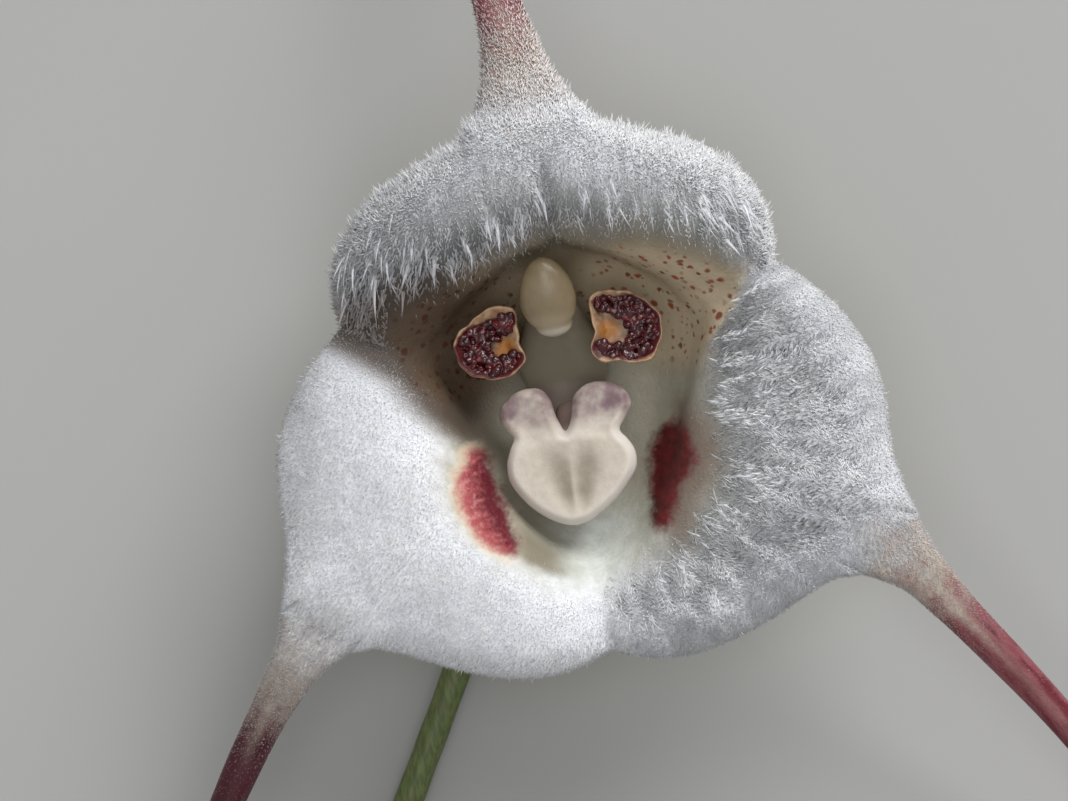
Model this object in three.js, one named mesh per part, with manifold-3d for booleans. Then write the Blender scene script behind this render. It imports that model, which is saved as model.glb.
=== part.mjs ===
// A monkey face orchid flower, as picked: three hairy sepals grown into one cup with three long tails, two small
// petals and a hooded column that make the face, a lip like a mouth, and behind them the ribbed ovary, its bract
// and the cut stem. The flower lies face up, on the ovary, the bract, the stem's end and the tips of its tails.
// Millimetres, +Z up, +Y towards the dorsal sepal. The origin is on the surface, under the outline's middle.
import * as THREE from "three";
import Module from "manifold-3d";
import { mergeVertices } from "three/addons/utils/BufferGeometryUtils.js";

const wasm = await Module();
wasm.setup();

// ---- driving dimensions -----------------------------------------------------------------------------------
const THROAT_X = -0.05; // the throat's axis, from the middle of the flower's outline
const THROAT_Y = -5.1;
const CUP_FLOOR = 4.8; // height of the middle of the cup's floor over the surface
const BLADE = 0.8; // thickness of a sepal
const EDGE_ROUND = 0.5; // how far in from its edge a sepal is rounded
const CLEARANCE = 0.3; // between two pieces that touch on the real flower
const FACE_X = -0.45; // the column, petals and lip stand a little to the left in the throat

// The cup in section, in ten directions from the throat's axis in the right half. 90 is the dorsal sepal, -90
// the seam between the lateral sepals, 30 the sinus between dorsal and lateral. Heights are over the floor.
const SECTION_ANGLE = [-90, -75, -55, -30, -4, 15, 30, 45, 60, 90];
const FLOOR_RADIUS = [4.2, 4.0, 3.6, 3.3, 3.4, 3.9, 4.6, 5.0, 5.2, 5.6];
const FLOOR_HEIGHT = [0.3, 0.3, 0.3, 0.3, 0.3, 0.3, 0.3, 0.3, 0.3, 0.3];
const WALL_RADIUS = [5.9, 5.6, 5.1, 4.7, 4.8, 5.6, 6.7, 7.2, 7.5, 8.0];
const WALL_HEIGHT = [1.6, 1.8, 2.0, 2.1, 2.1, 2.0, 1.9, 2.0, 2.2, 2.3];
const MOUTH_RADIUS = [7.1, 7.0, 6.3, 5.7, 5.7, 6.8, 8.2, 8.5, 8.3, 8.6];
const MOUTH_HEIGHT = [3.5, 4.2, 4.8, 5.0, 4.8, 4.3, 3.8, 4.9, 5.5, 5.8];
const CROWN_SHARE = [0.42, 0.4, 0.38, 0.36, 0.32, 0.34, 0.4, 0.38, 0.34, 0.3];
const CROWN_HEIGHT = [4.6, 5.4, 6.0, 6.4, 6.2, 5.6, 4.7, 6.6, 7.5, 7.9];
const SHOULDER_SHARE = [0.78, 0.78, 0.76, 0.72, 0.72, 0.74, 0.76, 0.78, 0.76, 0.74];
const SHOULDER_HEIGHT = [4.9, 5.6, 5.9, 6.0, 6.0, 5.6, 4.9, 6.2, 7.1, 7.4];
const RIM_HEIGHT = [4.8, 5.1, 5.1, 5.35, 4.8, 4.7, 4.6, 4.8, 5.7, 6.8];

// The outline of the right half of the face, from the notch between the lateral sepals round to the dorsal tail.
const LOWER_LOBE = [[0, -10.4], [0.9, -10.75], [2.2, -11.05], [3.6, -11.1], [5.2, -10.8], [7.0, -10.2],
  [8.5, -9.5], [9.6, -9.0], [10.6, -8.68], [11.6, -8.72]];
const UPPER_LOBE = [[14.45, -6.4], [13.95, -4.6], [13.75, -3.0], [13.8, -1.2], [13.65, 0.2], [13.2, 1.6],
  [12.5, 2.9], [11.5, 4.2], [10.5, 5.2], [9.7, 5.9]];
const DORSAL_SIDE = [[9.7, 5.9], [9.7, 7.1], [9.5, 8.45], [8.9, 9.65], [7.9, 10.7], [6.6, 11.55], [5.05, 12.2],
  [3.7, 12.75], [2.8, 13.3], [2.3, 14.1]];

// The tails' centre lines from the blades to their tips, and their half widths along them.
const DORSAL_TAIL = [[0, 14.1, 11.6], [-0.3, 17, 11.2], [-0.75, 20, 10.35], [-1.5, 26, 7.7], [-1.9, 33, 4.1],
  [-1.6, 40, 1.3], [-0.6, 45, 0.5], [0.6, 48, 0.5]];
const RIGHT_TAIL = [[13.02, -7.56, 10.15], [14.35, -9.15, 9.95], [15.5, -10.8, 9.6], [19.7, -17.0, 7.4],
  [23.0, -23.0, 4.7], [26.0, -29.0, 2.2], [28.9, -34.2, 0.7], [31.2, -37.4, 0.48]];
const LEFT_TAIL = [[-13.02, -7.56, 10.15], [-14.4, -9.15, 9.95], [-15.65, -10.7, 9.6], [-19.5, -16.2, 7.5],
  [-23.3, -22.4, 4.7], [-26.7, -28.6, 2.2], [-29.6, -34.0, 0.7], [-31.0, -37.8, 0.48]];
const TAIL_STEP = [0, 1.6, 3.4, 8, 16, 30, 36]; // distances along a tail
const DORSAL_HALF_WIDTH = [2.3, 1.6, 1.25, 0.95, 0.72, 0.56, 0.5];
const LATERAL_HALF_WIDTH = [1.83, 1.2, 0.98, 0.8, 0.66, 0.54, 0.48];
const TAIL_HALF_THICKNESS = [0.4, 0.46, 0.52, 0.6, 0.58, 0.5, 0.46];
const TAIL_FADE = 1.5; // how far into the blade a tail's root reaches
const TAIL_ROUND_BY = 5; // how far out a tail is quite round
const TIP_ROUND = 0.7;

// ---- small tools ------------------------------------------------------------------------------------------
const point = (x, y, z) => new THREE.Vector3(x, y, z);
const clamp = (x, low, high) => Math.min(high, Math.max(low, x));
const ease = (x) => clamp(x, 0, 1) ** 2 * (3 - 2 * clamp(x, 0, 1));
const radians = THREE.MathUtils.degToRad;

// A smooth curve through values at rising knots; flat at both ends if asked.
function spline(knots, values, flatEnds = false) {
  const last = knots.length - 1;
  const slope = (i) => (values[i + 1] - values[i]) / (knots[i + 1] - knots[i]);
  const tangent = knots.map((_, i) => {
    if (i === 0) return flatEnds ? 0 : slope(0);
    if (i === last) return flatEnds ? 0 : slope(last - 1);
    const before = knots[i] - knots[i - 1];
    const after = knots[i + 1] - knots[i];
    return (slope(i - 1) * after + slope(i) * before) / (before + after);
  });
  return (x) => {
    let i = 0;
    while (i < last - 1 && x > knots[i + 1]) i += 1;
    const h = knots[i + 1] - knots[i];
    const t = (clamp(x, knots[0], knots[last]) - knots[i]) / h;
    const rise = values[i + 1] - values[i];
    return (
      values[i] + rise * t * t * (3 - 2 * t) +
      h * tangent[i] * t * (1 - t) ** 2 - h * tangent[i + 1] * t * t * (1 - t)
    );
  };
}

// A smooth line through points in space, with its length and its point at a distance along it.
function route(points) {
  const distance = [0];
  points.slice(1).forEach((p, i) => {
    distance.push(distance[i] + Math.hypot(...p.map((v, k) => v - points[i][k])));
  });
  const axes = points[0].map((_, k) => spline(distance, points.map((p) => p[k])));
  const at = (d) => axes.map((axis) => axis(d));
  return { at, length: distance.at(-1) };
}

// A place on a centre line: where it is, and which way is along, aside and up from it.
function place(line, distance) {
  const here = point(...line.at(distance));
  const along = point(...line.at(distance + 0.05)).sub(point(...line.at(distance - 0.05))).normalize();
  const aside = along.clone().cross(point(0, 0, 1)).normalize();
  return { here, along, aside, up: aside.clone().cross(along) };
}

function geometry(points, triangles) {
  const made = new THREE.BufferGeometry().setFromPoints(points);
  made.setIndex(triangles.flat());
  return made;
}

// The skin over a stack of closed rings, each turning the same way, drawn to a point at both ends.
function skin(rings, first, last) {
  const sides = rings[0].length;
  const points = [first, ...rings.flat(), last];
  const at = (ring, k) => 1 + ring * sides + (k % sides);
  const triangles = [];
  for (let k = 0; k < sides; k += 1) {
    triangles.push([0, at(0, k + 1), at(0, k)]);
    triangles.push([points.length - 1, at(rings.length - 1, k), at(rings.length - 1, k + 1)]);
    for (let ring = 0; ring < rings.length - 1; ring += 1) {
      triangles.push([at(ring, k), at(ring, k + 1), at(ring + 1, k + 1)]);
      triangles.push([at(ring, k), at(ring + 1, k + 1), at(ring + 1, k)]);
    }
  }
  return geometry(points, triangles);
}

// A ring of points round a centre line; shape(turn) is its radius as a share of the half width and half height.
function ring(spot, halfWidth, halfHeight, sides, shape = () => 1) {
  return Array.from({ length: sides }, (_, k) => {
    const turn = (2 * Math.PI * k) / sides;
    const reach = shape(turn);
    return spot.here
      .clone()
      .addScaledVector(spot.aside, -Math.cos(turn) * halfWidth * reach)
      .addScaledVector(spot.up, Math.sin(turn) * halfHeight * reach);
  });
}

// A rod along a centre line whose half width and half height follow the distance; its ends are rounded or cut.
function rod({ line, steps, sides, halfWidth, halfHeight = halfWidth, shape, capped = 0 }) {
  const rings = steps.map((d) => {
    const reach = shape && ((turn) => shape(turn, d));
    return ring(place(line, d), halfWidth(d), halfHeight(d), sides, reach);
  });
  const tip = (d, out) => {
    const spot = place(line, d);
    return spot.here.addScaledVector(spot.along, out);
  };
  return skin(rings, tip(steps[0], -capped), tip(steps.at(-1), capped));
}

function solid(shape) {
  const bare = shape.clone();
  bare.deleteAttribute("normal");
  bare.deleteAttribute("uv");
  const merged = mergeVertices(bare, 1e-4);
  const vertProperties = merged.attributes.position.array;
  const triVerts = new Uint32Array(merged.index.array);
  return new wasm.Manifold(new wasm.Mesh({ numProp: 3, vertProperties, triVerts }));
}

function fuse(shapes) {
  const { vertProperties, triVerts } = shapes.map(solid).reduce((a, b) => a.add(b)).getMesh();
  const made = new THREE.BufferGeometry();
  made.setAttribute("position", new THREE.BufferAttribute(vertProperties, 3));
  return made.setIndex(new THREE.BufferAttribute(triVerts, 1));
}

function piece(name, shape, color, roughness = 0.6) {
  shape.computeVertexNormals();
  const mesh = new THREE.Mesh(shape, new THREE.MeshStandardMaterial({ color, roughness, metalness: 0 }));
  mesh.name = name;
  return mesh;
}

// ---- the sepal cup ----------------------------------------------------------------------------------------
const section = Object.fromEntries(
  Object.entries({
    floorR: FLOOR_RADIUS, floorZ: FLOOR_HEIGHT, wallR: WALL_RADIUS, wallZ: WALL_HEIGHT, mouthR: MOUTH_RADIUS,
    mouthZ: MOUTH_HEIGHT, crownS: CROWN_SHARE, crownZ: CROWN_HEIGHT, shoulderS: SHOULDER_SHARE,
    shoulderZ: SHOULDER_HEIGHT, rimZ: RIM_HEIGHT,
  }).map(([key, values]) => [key, spline(SECTION_ANGLE, values, true)]),
);

// A slow wave over the blades, none in the throat.
function wave(x, y, radius) {
  const blade = ease((radius - 7) / 3);
  return blade * (0.16 * Math.sin(0.55 * x + 0.9) * Math.sin(0.5 * y - 0.4) + 0.07 * Math.sin(1.1 * x - 0.7 * y));
}

// The cup's middle surface on the ray that ends at an outline point, at rows 0 (the centre) to 6 (the rim).
function cupRay(x, y) {
  const rim = Math.hypot(x, y);
  const folded = (Math.atan2(y, Math.abs(x)) * 180) / Math.PI;
  const s = Object.fromEntries(Object.entries(section).map(([key, f]) => [key, f(folded)]));
  const radii = [0, s.floorR, s.wallR, s.mouthR, THREE.MathUtils.lerp(s.mouthR, rim, s.crownS),
    THREE.MathUtils.lerp(s.mouthR, rim, s.shoulderS), rim];
  const heights = [0, s.floorZ, s.wallZ, s.mouthZ, s.crownZ, s.shoulderZ, s.rimZ];
  const knots = [0];
  for (let i = 1; i < radii.length; i += 1) {
    knots.push(knots[i - 1] + Math.hypot(radii[i] - radii[i - 1], heights[i] - heights[i - 1]));
  }
  const radius = spline(knots, radii);
  const height = spline(knots, heights);
  return (row) => {
    const i = Math.min(5, Math.floor(row));
    const d = THREE.MathUtils.lerp(knots[i], knots[i + 1], row - i);
    const r = radius(d);
    const px = (x / rim) * r;
    const py = (y / rim) * r;
    return point(px, py, CUP_FLOOR + height(d) + wave(px, py, r));
  };
}

const mirrored = (points) => points.map(([x, y]) => [-x, y]).reverse();
const tails = [
  { line: route(RIGHT_TAIL), halfWidth: spline(TAIL_STEP, LATERAL_HALF_WIDTH) },
  { line: route(DORSAL_TAIL), halfWidth: spline(TAIL_STEP, DORSAL_HALF_WIDTH) },
  { line: route(LEFT_TAIL), halfWidth: spline(TAIL_STEP, LATERAL_HALF_WIDTH) },
];
const tailHalfThickness = spline(TAIL_STEP, TAIL_HALF_THICKNESS);

// The columns of the cup's skin, anticlockwise from the notch. Those that run out into a tail say how far across
// it they are, as an angle.
function cupColumns(perLobe, acrossTail) {
  const lobes = [
    [LOWER_LOBE],
    [UPPER_LOBE, DORSAL_SIDE],
    [mirrored(DORSAL_SIDE), mirrored(UPPER_LOBE)],
    [mirrored(LOWER_LOBE)],
  ];
  const columns = [];
  lobes.forEach((parts, number) => {
    parts.forEach((outline, part) => {
      const line = route(outline);
      const skipped = part > 0 ? 1 : 0; // its first point is the last of the part before it
      for (let k = skipped; k <= perLobe; k += 1) {
        const [x, y] = line.at((line.length * k) / perLobe);
        columns.push({ x, y, tail: null, across: 0 });
      }
    });
    if (number === 3) return;
    const tail = tails[number];
    const { here, aside } = place(tail.line, 0);
    columns.at(-1).tail = tail;
    for (let k = 1; k <= acrossTail; k += 1) {
      const across = (Math.PI * k) / acrossTail;
      const edge = here.clone().addScaledVector(aside, tail.halfWidth(0) * Math.cos(across));
      columns.push({ x: edge.x, y: edge.y, tail, across });
    }
    columns.pop(); // the tail's far edge is the next lobe's first point
  });
  columns.pop(); // the last point is the notch again
  return columns;
}

// How thick a sepal is at a distance in from its edge, and how thick a tail is at an angle across it: like the
// blade where it leaves it, and round further out.
const bladeThickness = (inward) => BLADE * Math.sqrt(1 - (1 - clamp(inward / EDGE_ROUND, 0, 1)) ** 2);
function tailThickness(tail, distance, across) {
  const flat = bladeThickness(tail.halfWidth(distance) * (1 - Math.abs(Math.cos(across))));
  const round = 2 * tailHalfThickness(distance) * Math.sin(across);
  return THREE.MathUtils.lerp(flat, round, ease(distance / TAIL_ROUND_BY));
}

function sepalCup({ perLobe, acrossTail, rows, tailSteps }) {
  const columns = cupColumns(perLobe, acrossTail);
  const count = columns.length;
  const rays = columns.map(({ x, y }) => cupRay(x, y));
  const middle = rows.map((row) => rays.map((ray) => ray(row)));
  const centre = rays[0](0);
  const inwardOf = (i, j) => middle[i][j].distanceTo(middle.at(-1)[j]);
  const thickness = (i, j) => {
    const { tail, across } = columns[j];
    const inward = inwardOf(i, j);
    if (!tail || across === 0) return bladeThickness(inward);
    return THREE.MathUtils.lerp(tailThickness(tail, 0, across), BLADE, clamp(inward / TAIL_FADE, 0, 1));
  };
  const normal = (i, j) => {
    const outward = middle[Math.min(i + 1, rows.length - 1)][j].clone().sub(i ? middle[i - 1][j] : centre);
    const round = middle[i][(j + 1) % count].clone().sub(middle[i][(j + count - 1) % count]);
    const up = outward.cross(round).normalize();
    const { tail } = columns[j];
    return tail ? up.lerp(place(tail.line, 0).up, 1 - ease(inwardOf(i, j) / (2 * TAIL_FADE))).normalize() : up;
  };

  const points = [];
  const add = (p) => points.push(point(p.x, p.y, Math.max(0, p.z))) - 1;
  const pair = (p, up, thick) => {
    if (thick < 1e-6) {
      const shared = add(p);
      return [shared, shared];
    }
    return [add(p.clone().addScaledVector(up, thick / 2)), add(p.clone().addScaledVector(up, -thick / 2))];
  };
  const hub = pair(centre, point(0, 0, 1), BLADE);
  const grid = rows.map((_, i) => columns.map((_, j) => pair(middle[i][j], normal(i, j), thickness(i, j))));
  const triangles = [];
  const face = (a, b, c) => {
    for (const side of [0, 1]) {
      const corners = [a[side], b[side], c[side]];
      if (new Set(corners).size === 3) triangles.push(side ? corners.reverse() : corners);
    }
  };
  for (let j = 0; j < count; j += 1) {
    const next = (j + 1) % count;
    face(hub, grid[0][j], grid[0][next]);
    for (let i = 0; i < rows.length - 1; i += 1) {
      face(grid[i][j], grid[i + 1][j], grid[i + 1][next]);
      face(grid[i][j], grid[i + 1][next], grid[i][next]);
    }
  }

  for (const tail of tails) {
    const first = columns.findIndex((column) => column.tail === tail);
    const { length } = tail.line;
    const section = (distance, k) => {
      const { here, aside } = place(tail.line, distance);
      const tip = Math.sqrt(1 - clamp((distance - length + TIP_ROUND) / TIP_ROUND, 0, 1) ** 2);
      return here.addScaledVector(aside, tip * tail.halfWidth(distance) * Math.cos((Math.PI * k) / acrossTail));
    };
    // The blade ends a little above or below the tail's first section, and the tail takes that up.
    const step = Array.from({ length: acrossTail + 1 }, (_, k) => {
      return middle.at(-1)[first + k].clone().sub(section(0, k));
    });
    let before = step.map((_, k) => grid.at(-1)[first + k]);
    for (const share of tailSteps) {
      const distance = share * length;
      const { up } = place(tail.line, distance);
      const tip = Math.sqrt(1 - clamp((distance - length + TIP_ROUND) / TIP_ROUND, 0, 1) ** 2);
      const row = before.map((_, k) => {
        const spot = section(distance, k).addScaledVector(step[k], 1 - ease(distance / TAIL_ROUND_BY));
        const thick = k % acrossTail ? tip * tailThickness(tail, distance, (Math.PI * k) / acrossTail) : 0;
        return pair(spot, up, thick);
      });
      row.slice(1).forEach((corner, k) => {
        face(before[k], row[k], corner);
        face(before[k], corner, before[k + 1]);
      });
      before = row;
    }
    const end = pair(place(tail.line, length).here, point(0, 0, 1), 0);
    before.slice(1).forEach((corner, k) => face(before[k], end, corner));
  }
  return geometry(points, triangles);
}

// ---- the column and its anther cap ------------------------------------------------------------------------
// The column's foot runs along the cup's floor from the lip's hinge, and the column rises from it to its tip.
const COLUMN_LINE = [[0, 0.7, 5.95], [0, 2.0, 5.95], [0, 3.3, 6.5], [0, 4.4, 7.5], [0, 5.3, 8.7]];
const COLUMN_STEP = [0, 1.3, 2.6, 4.2, 5.8];
const COLUMN_HALF_WIDTH = [0.75, 1.0, 1.3, 1.25, 1.35];
const COLUMN_HALF_DEPTH = [0.35, 0.42, 0.75, 0.95, 0.8];
const CAP_CENTRE = [0, 5.85, 9.75];
const CAP_RADII = [1.33, 1.78, 0.72];
const CAP_LEAN = radians(14); // its lower end is towards the throat's floor

function columnShape() {
  const line = route(COLUMN_LINE);
  const halfWidth = spline(COLUMN_STEP, COLUMN_HALF_WIDTH);
  const halfHeight = spline(COLUMN_STEP, COLUMN_HALF_DEPTH);
  const steps = [0, 0.6, 1.3, 2.0, 2.7, 3.4, 4.2, 5.0, line.length - 0.25];
  // A shallow groove down the face that looks out.
  const shape = (turn, d) => 1 - 0.16 * ease(d / 3) * Math.max(0, Math.sin(turn)) ** 6;
  return rod({ line, steps, sides: 16, halfWidth, halfHeight, shape, capped: 0.18 });
}

function antherCap() {
  const cap = new THREE.SphereGeometry(1, 18, 12);
  cap.scale(...CAP_RADII);
  const position = cap.attributes.position;
  for (let k = 0; k < position.count; k += 1) {
    const y = position.getY(k) / CAP_RADII[1];
    const narrowed = 1 - 0.15 * y; // wider at its lower end, where the pollen is held
    position.setX(k, position.getX(k) * narrowed);
    if (position.getZ(k) < 0) position.setZ(k, position.getZ(k) * 0.55);
  }
  cap.rotateX(CAP_LEAN);
  cap.translate(...CAP_CENTRE);
  return fuse([cap]);
}

// ---- the petals -------------------------------------------------------------------------------------------
const PETAL_BASE = [2.05, 4.4, 6.1];
const PETAL_FACE = [3.15, 3.95, 9.0]; // the middle of the warty face
// Its outline from there: straight beside the column at 180, with a corner at each end of the straight side.
const PETAL_ANGLE = [-180, -148, -120, -97, -50, -9, 20, 45, 80, 110, 130, 150, 180];
const PETAL_REACH = [1.44, 1.86, 1.75, 1.66, 1.62, 1.62, 1.6, 1.56, 1.62, 1.9, 2.12, 1.72, 1.44];
const PETAL_DISH = 0.42; // how deep the face is sunk in its rim
const WART_RADIUS = 0.27;
const WART_RINGS = [
  { share: 0.74, sunk: 0.1, from: -146, to: 126, count: 11 },
  { share: 0.44, sunk: 0.26, from: -112, to: 92, count: 6 },
];

const petalReach = spline(PETAL_ANGLE, PETAL_REACH, true);

function petal(side) {
  const [x, y, z] = PETAL_FACE;
  const line = route([PETAL_BASE, [2.35, 4.35, 7.0], [2.8, 4.15, 7.9], PETAL_FACE]);
  const sides = 24;
  const around = ([cx, cy, cz], share, roundness = 1) =>
    Array.from({ length: sides }, (_, k) => {
      const degrees = (360 * k) / sides - 180;
      const reach = share * THREE.MathUtils.lerp(1.6, petalReach(degrees), roundness);
      return point(cx + Math.cos(radians(degrees)) * reach, cy + Math.sin(radians(degrees)) * reach, cz);
    });
  const flare = [[0, 0.3], [0.25, 0.33], [0.5, 0.42], [0.7, 0.64], [0.86, 0.88]];
  const rings = flare.map(([along, share]) => around(line.at(along * line.length), share, along));
  const face = [[0, 1], [0.16, 0.96], [0.12, 0.87], [-0.7 * PETAL_DISH, 0.6]];
  face.forEach(([rise, share]) => rings.push(around([x, y, z + rise], share)));
  const shapes = [skin(rings, point(...PETAL_BASE).add(point(0, 0, -0.1)), point(x, y, z - PETAL_DISH))];
  for (const { share, sunk, from, to, count } of WART_RINGS) {
    for (let k = 0; k < count; k += 1) {
      const degrees = from + ((to - from) * k) / (count - 1);
      const reach = share * petalReach(degrees);
      const wart = new THREE.SphereGeometry(WART_RADIUS * (1 + 0.18 * Math.sin(5 * k + 9 * share)), 7, 5);
      wart.translate(x + Math.cos(radians(degrees)) * reach, y + Math.sin(radians(degrees)) * reach, z - sunk);
      shapes.push(wart);
    }
  }
  const made = fuse(shapes);
  if (side > 0) return made;
  made.scale(-1, 1, 1);
  const turned = made.index.array;
  for (let k = 0; k < turned.length; k += 3) [turned[k + 1], turned[k + 2]] = [turned[k + 2], turned[k + 1]];
  return made;
}

// ---- the lip ----------------------------------------------------------------------------------------------
const LIP_TURN = radians(-2); // it sits a little askew in the throat
const LIP_EDGE = 8.75; // height of its blade's edge
const LIP_Y = [-4.63, -4.3, -3.9, -3.1, -2.3, -1.5, -0.9, -0.5]; // from its tip to the ears
const LIP_HALF_WIDTH = [0.3, 0.95, 1.58, 2.4, 2.92, 2.9, 2.55, 2.1];
const LIP_SWELL = 0.45; // how far its blade swells above its edge
const LIP_GROOVE = 0.5; // how deep the two grooves beside the middle ridge are
const LIP_UNDER = 1.1; // how deep it is below its edge
// Places across the blade's face, as shares of its half width; the groove is at the fifth.
const LIP_ACROSS = [0, 0.08, 0.15, 0.21, 0.28, 0.36, 0.46, 0.6, 0.76, 0.88, 0.96];
const EAR_LINE = [[1.0, -1.7, 8.6], [1.35, -0.7, 8.45], [1.78, 0.4, 8.1], [1.95, 1.6, 7.75]];
const EAR_HALF_WIDTH = 1.22;
const EAR_HALF_HEIGHT = 0.78;
const CLAW_LINE = [[0, 0.85, 6.95], [0, 0.45, 7.3], [0, -0.4, 7.8], [0, -1.4, 8.1]];

function lipBlade() {
  const halfWidth = spline(LIP_Y, LIP_HALF_WIDTH);
  const [tip, top] = [LIP_Y[0], LIP_Y.at(-1)];
  const section = (up) => {
    const y = THREE.MathUtils.lerp(tip, top, up);
    const atTip = Math.sqrt(1 - (1 - Math.min(1, up * 2.2)) ** 2);
    const swell = atTip * Math.sqrt(1 - clamp((up - 0.8) / 0.22, 0, 1) ** 2);
    const spread = THREE.MathUtils.lerp(0.5, 1.3, up ** 1.6); // the grooves run together towards the tip
    const sunk = LIP_GROOVE * ease((up - 0.06) / 0.24) * (1 - 0.75 * ease((up - 0.76) / 0.2));
    const face = [-1, 1].flatMap((side) => {
      const half = LIP_ACROSS.slice(side < 0 ? 0 : 1).map((share) => {
        const x = share * THREE.MathUtils.lerp(spread, 1, ease((share - 0.3) / 0.5));
        const groove = sunk * Math.exp(-(((share - 0.28) / 0.09) ** 2));
        const margin = 0.1 * Math.exp(-(((share - 0.9) / 0.07) ** 2));
        return [side * x, swell * (LIP_SWELL * (1 - share ** 4) + margin - groove)];
      });
      return side < 0 ? half.reverse() : half;
    });
    const back = [1, 0.85, 0.55, 0.2, -0.2, -0.55, -0.85, -1];
    const under = back.map((share) => [share, -swell * LIP_UNDER * (1 - Math.abs(share) ** 3)]);
    return [...face, ...under].map(([x, z]) => point(x * halfWidth(y), y, LIP_EDGE + z));
  };
  const rings = [0.03, 0.08, 0.15, 0.24, 0.34, 0.45, 0.56, 0.67, 0.78, 0.88, 0.96].map(section);
  return skin(rings, point(0, tip, LIP_EDGE), point(0, top, LIP_EDGE - 0.2));
}

function lip() {
  const shapes = [lipBlade()];
  for (const side of [-1, 1]) {
    const line = route(EAR_LINE.map(([x, y, z]) => [side * x, y, z]));
    const bulge = (d) => (1 - Math.abs((2 * d) / line.length - 1) ** 2.8) ** 0.5;
    const shares = [0.02, 0.08, 0.17, 0.3, 0.45, 0.6, 0.75, 0.86, 0.94, 0.985];
    const steps = shares.map((share) => share * line.length);
    const halfWidth = (d) => EAR_HALF_WIDTH * bulge(d);
    const halfHeight = (d) => EAR_HALF_HEIGHT * bulge(d);
    shapes.push(rod({ line, steps, sides: 16, halfWidth, halfHeight, capped: 0.03 }));
  }
  const line = route(CLAW_LINE);
  const steps = [0, 0.5, 1.1, 1.8, line.length];
  shapes.push(rod({ line, steps, sides: 12, halfWidth: () => 0.85, halfHeight: () => 0.42, capped: 0.15 }));
  const made = fuse(shapes);
  return made.translate(0, 2.2, 0).rotateZ(LIP_TURN).translate(0, -2.2, 0);
}

// ---- the ovary, bract and stem ----------------------------------------------------------------------------
// One centre line from under the cup's floor, down on to the surface and away below the left lateral sepal.
const STALK_LINE = [[0, 3.3, 3.95], [-0.08, 3.15, 3.2], [-0.45, 2.5, 2.0], [-1.2, 1.15, 1.0], [-2.1, -0.45, 0.86],
  [-3.5, -2.9, 1.22], [-5.3, -6.0, 1.52], [-7.3, -9.6, 1.44], [-10.7, -15.6, 0.95], [-13.4, -20.4, 0.72],
  [-16.0, -25.4, 0.7]];
const OVARY_STEP = [0, 0.5, 1.4, 2.6, 3.9, 5.2, 6.4, 7.6, 11];
const OVARY_HALF_WIDTH = [0.95, 1.05, 1.15, 1.24, 1.24, 1.1, 0.7, 0.5, 0.5];
const OVARY_RIB = 0.09;
const PEDICEL_END = 11.2; // distances along the centre line
const BRACT_FROM = 9.4;
const BRACT_TO = 14.6;
const BRACT_RADIUS = [1.4, 1.26]; // outside, at its mouth and at its foot
const BRACT_WALL = 0.42;
const STEM_RADIUS = [0.5, 0.56, 0.62, 0.66];
const STEM_STEP = [0, 1.5, 4, 10];

const stalk = route(STALK_LINE);

function ovary() {
  const halfWidth = spline(OVARY_STEP, OVARY_HALF_WIDTH);
  const steps = [0.12, 0.5, 1.0, 1.7, 2.4, 3.1, 3.8, 4.5, 5.2, 5.9, 6.6, 7.4, 9, PEDICEL_END - 0.1];
  const ribs = (turn, d) => 1 - OVARY_RIB * Math.cos(6 * turn) * ease(d / 1.2) * ease((7 - d) / 1.5);
  const made = rod({ line: stalk, steps, sides: 24, halfWidth, shape: ribs, capped: 0.1 });
  const { position } = made.attributes; // it lies on one rib, which is pressed flat
  for (let k = 0; k < position.count; k += 1) position.setZ(k, Math.max(0, position.getZ(k)));
  return made;
}

function bract() {
  const outer = (d) => THREE.MathUtils.mapLinear(d, BRACT_FROM, BRACT_TO, ...BRACT_RADIUS);
  const steps = [BRACT_FROM, 10.4, 11.6, 13, BRACT_TO];
  const sides = 18;
  const wall = (inset) => steps.map((d, row) =>
    Array.from({ length: sides }, (_, k) => {
      const turn = (2 * Math.PI * k) / sides;
      const spot = place(stalk, row ? d : d - 0.9 * Math.sin(turn)); // its mouth is aslant, longer above
      const radius = outer(d) - inset;
      return spot.here
        .addScaledVector(spot.aside, -Math.cos(turn) * radius)
        .addScaledVector(spot.up, Math.sin(turn) * radius);
    }));
  const rows = [...wall(0), ...wall(BRACT_WALL).reverse()];
  const at = (row, k) => (row % rows.length) * sides + (k % sides);
  const triangles = [];
  rows.forEach((_, row) => {
    for (let k = 0; k < sides; k += 1) {
      triangles.push([at(row, k), at(row, k + 1), at(row + 1, k + 1)]);
      triangles.push([at(row, k), at(row + 1, k + 1), at(row + 1, k)]);
    }
  });
  return geometry(rows.flat(), triangles);
}

function stem() {
  const from = PEDICEL_END + CLEARANCE;
  const radius = spline(STEM_STEP, STEM_RADIUS);
  const steps = [0, 0.8, 1.6, 2.6, 4, 6, 8.5, 11, 14, 17, 20, stalk.length - from].map((d) => d + from);
  return rod({ line: stalk, steps, sides: 14, halfWidth: (d) => radius(d - from) });
}

// ---- the flower -------------------------------------------------------------------------------------------
const face = [
  piece("column", columnShape(), 0xc9c6b4, 0.5),
  piece("anther_cap", antherCap(), 0xd8c8a4, 0.4),
  piece("petal_right", petal(1), 0x6a1620, 0.35),
  piece("petal_left", petal(-1), 0x6a1620, 0.35),
  piece("lip", lip(), 0xece6dc, 0.5),
];
for (const mesh of face) mesh.position.x = FACE_X;

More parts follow.
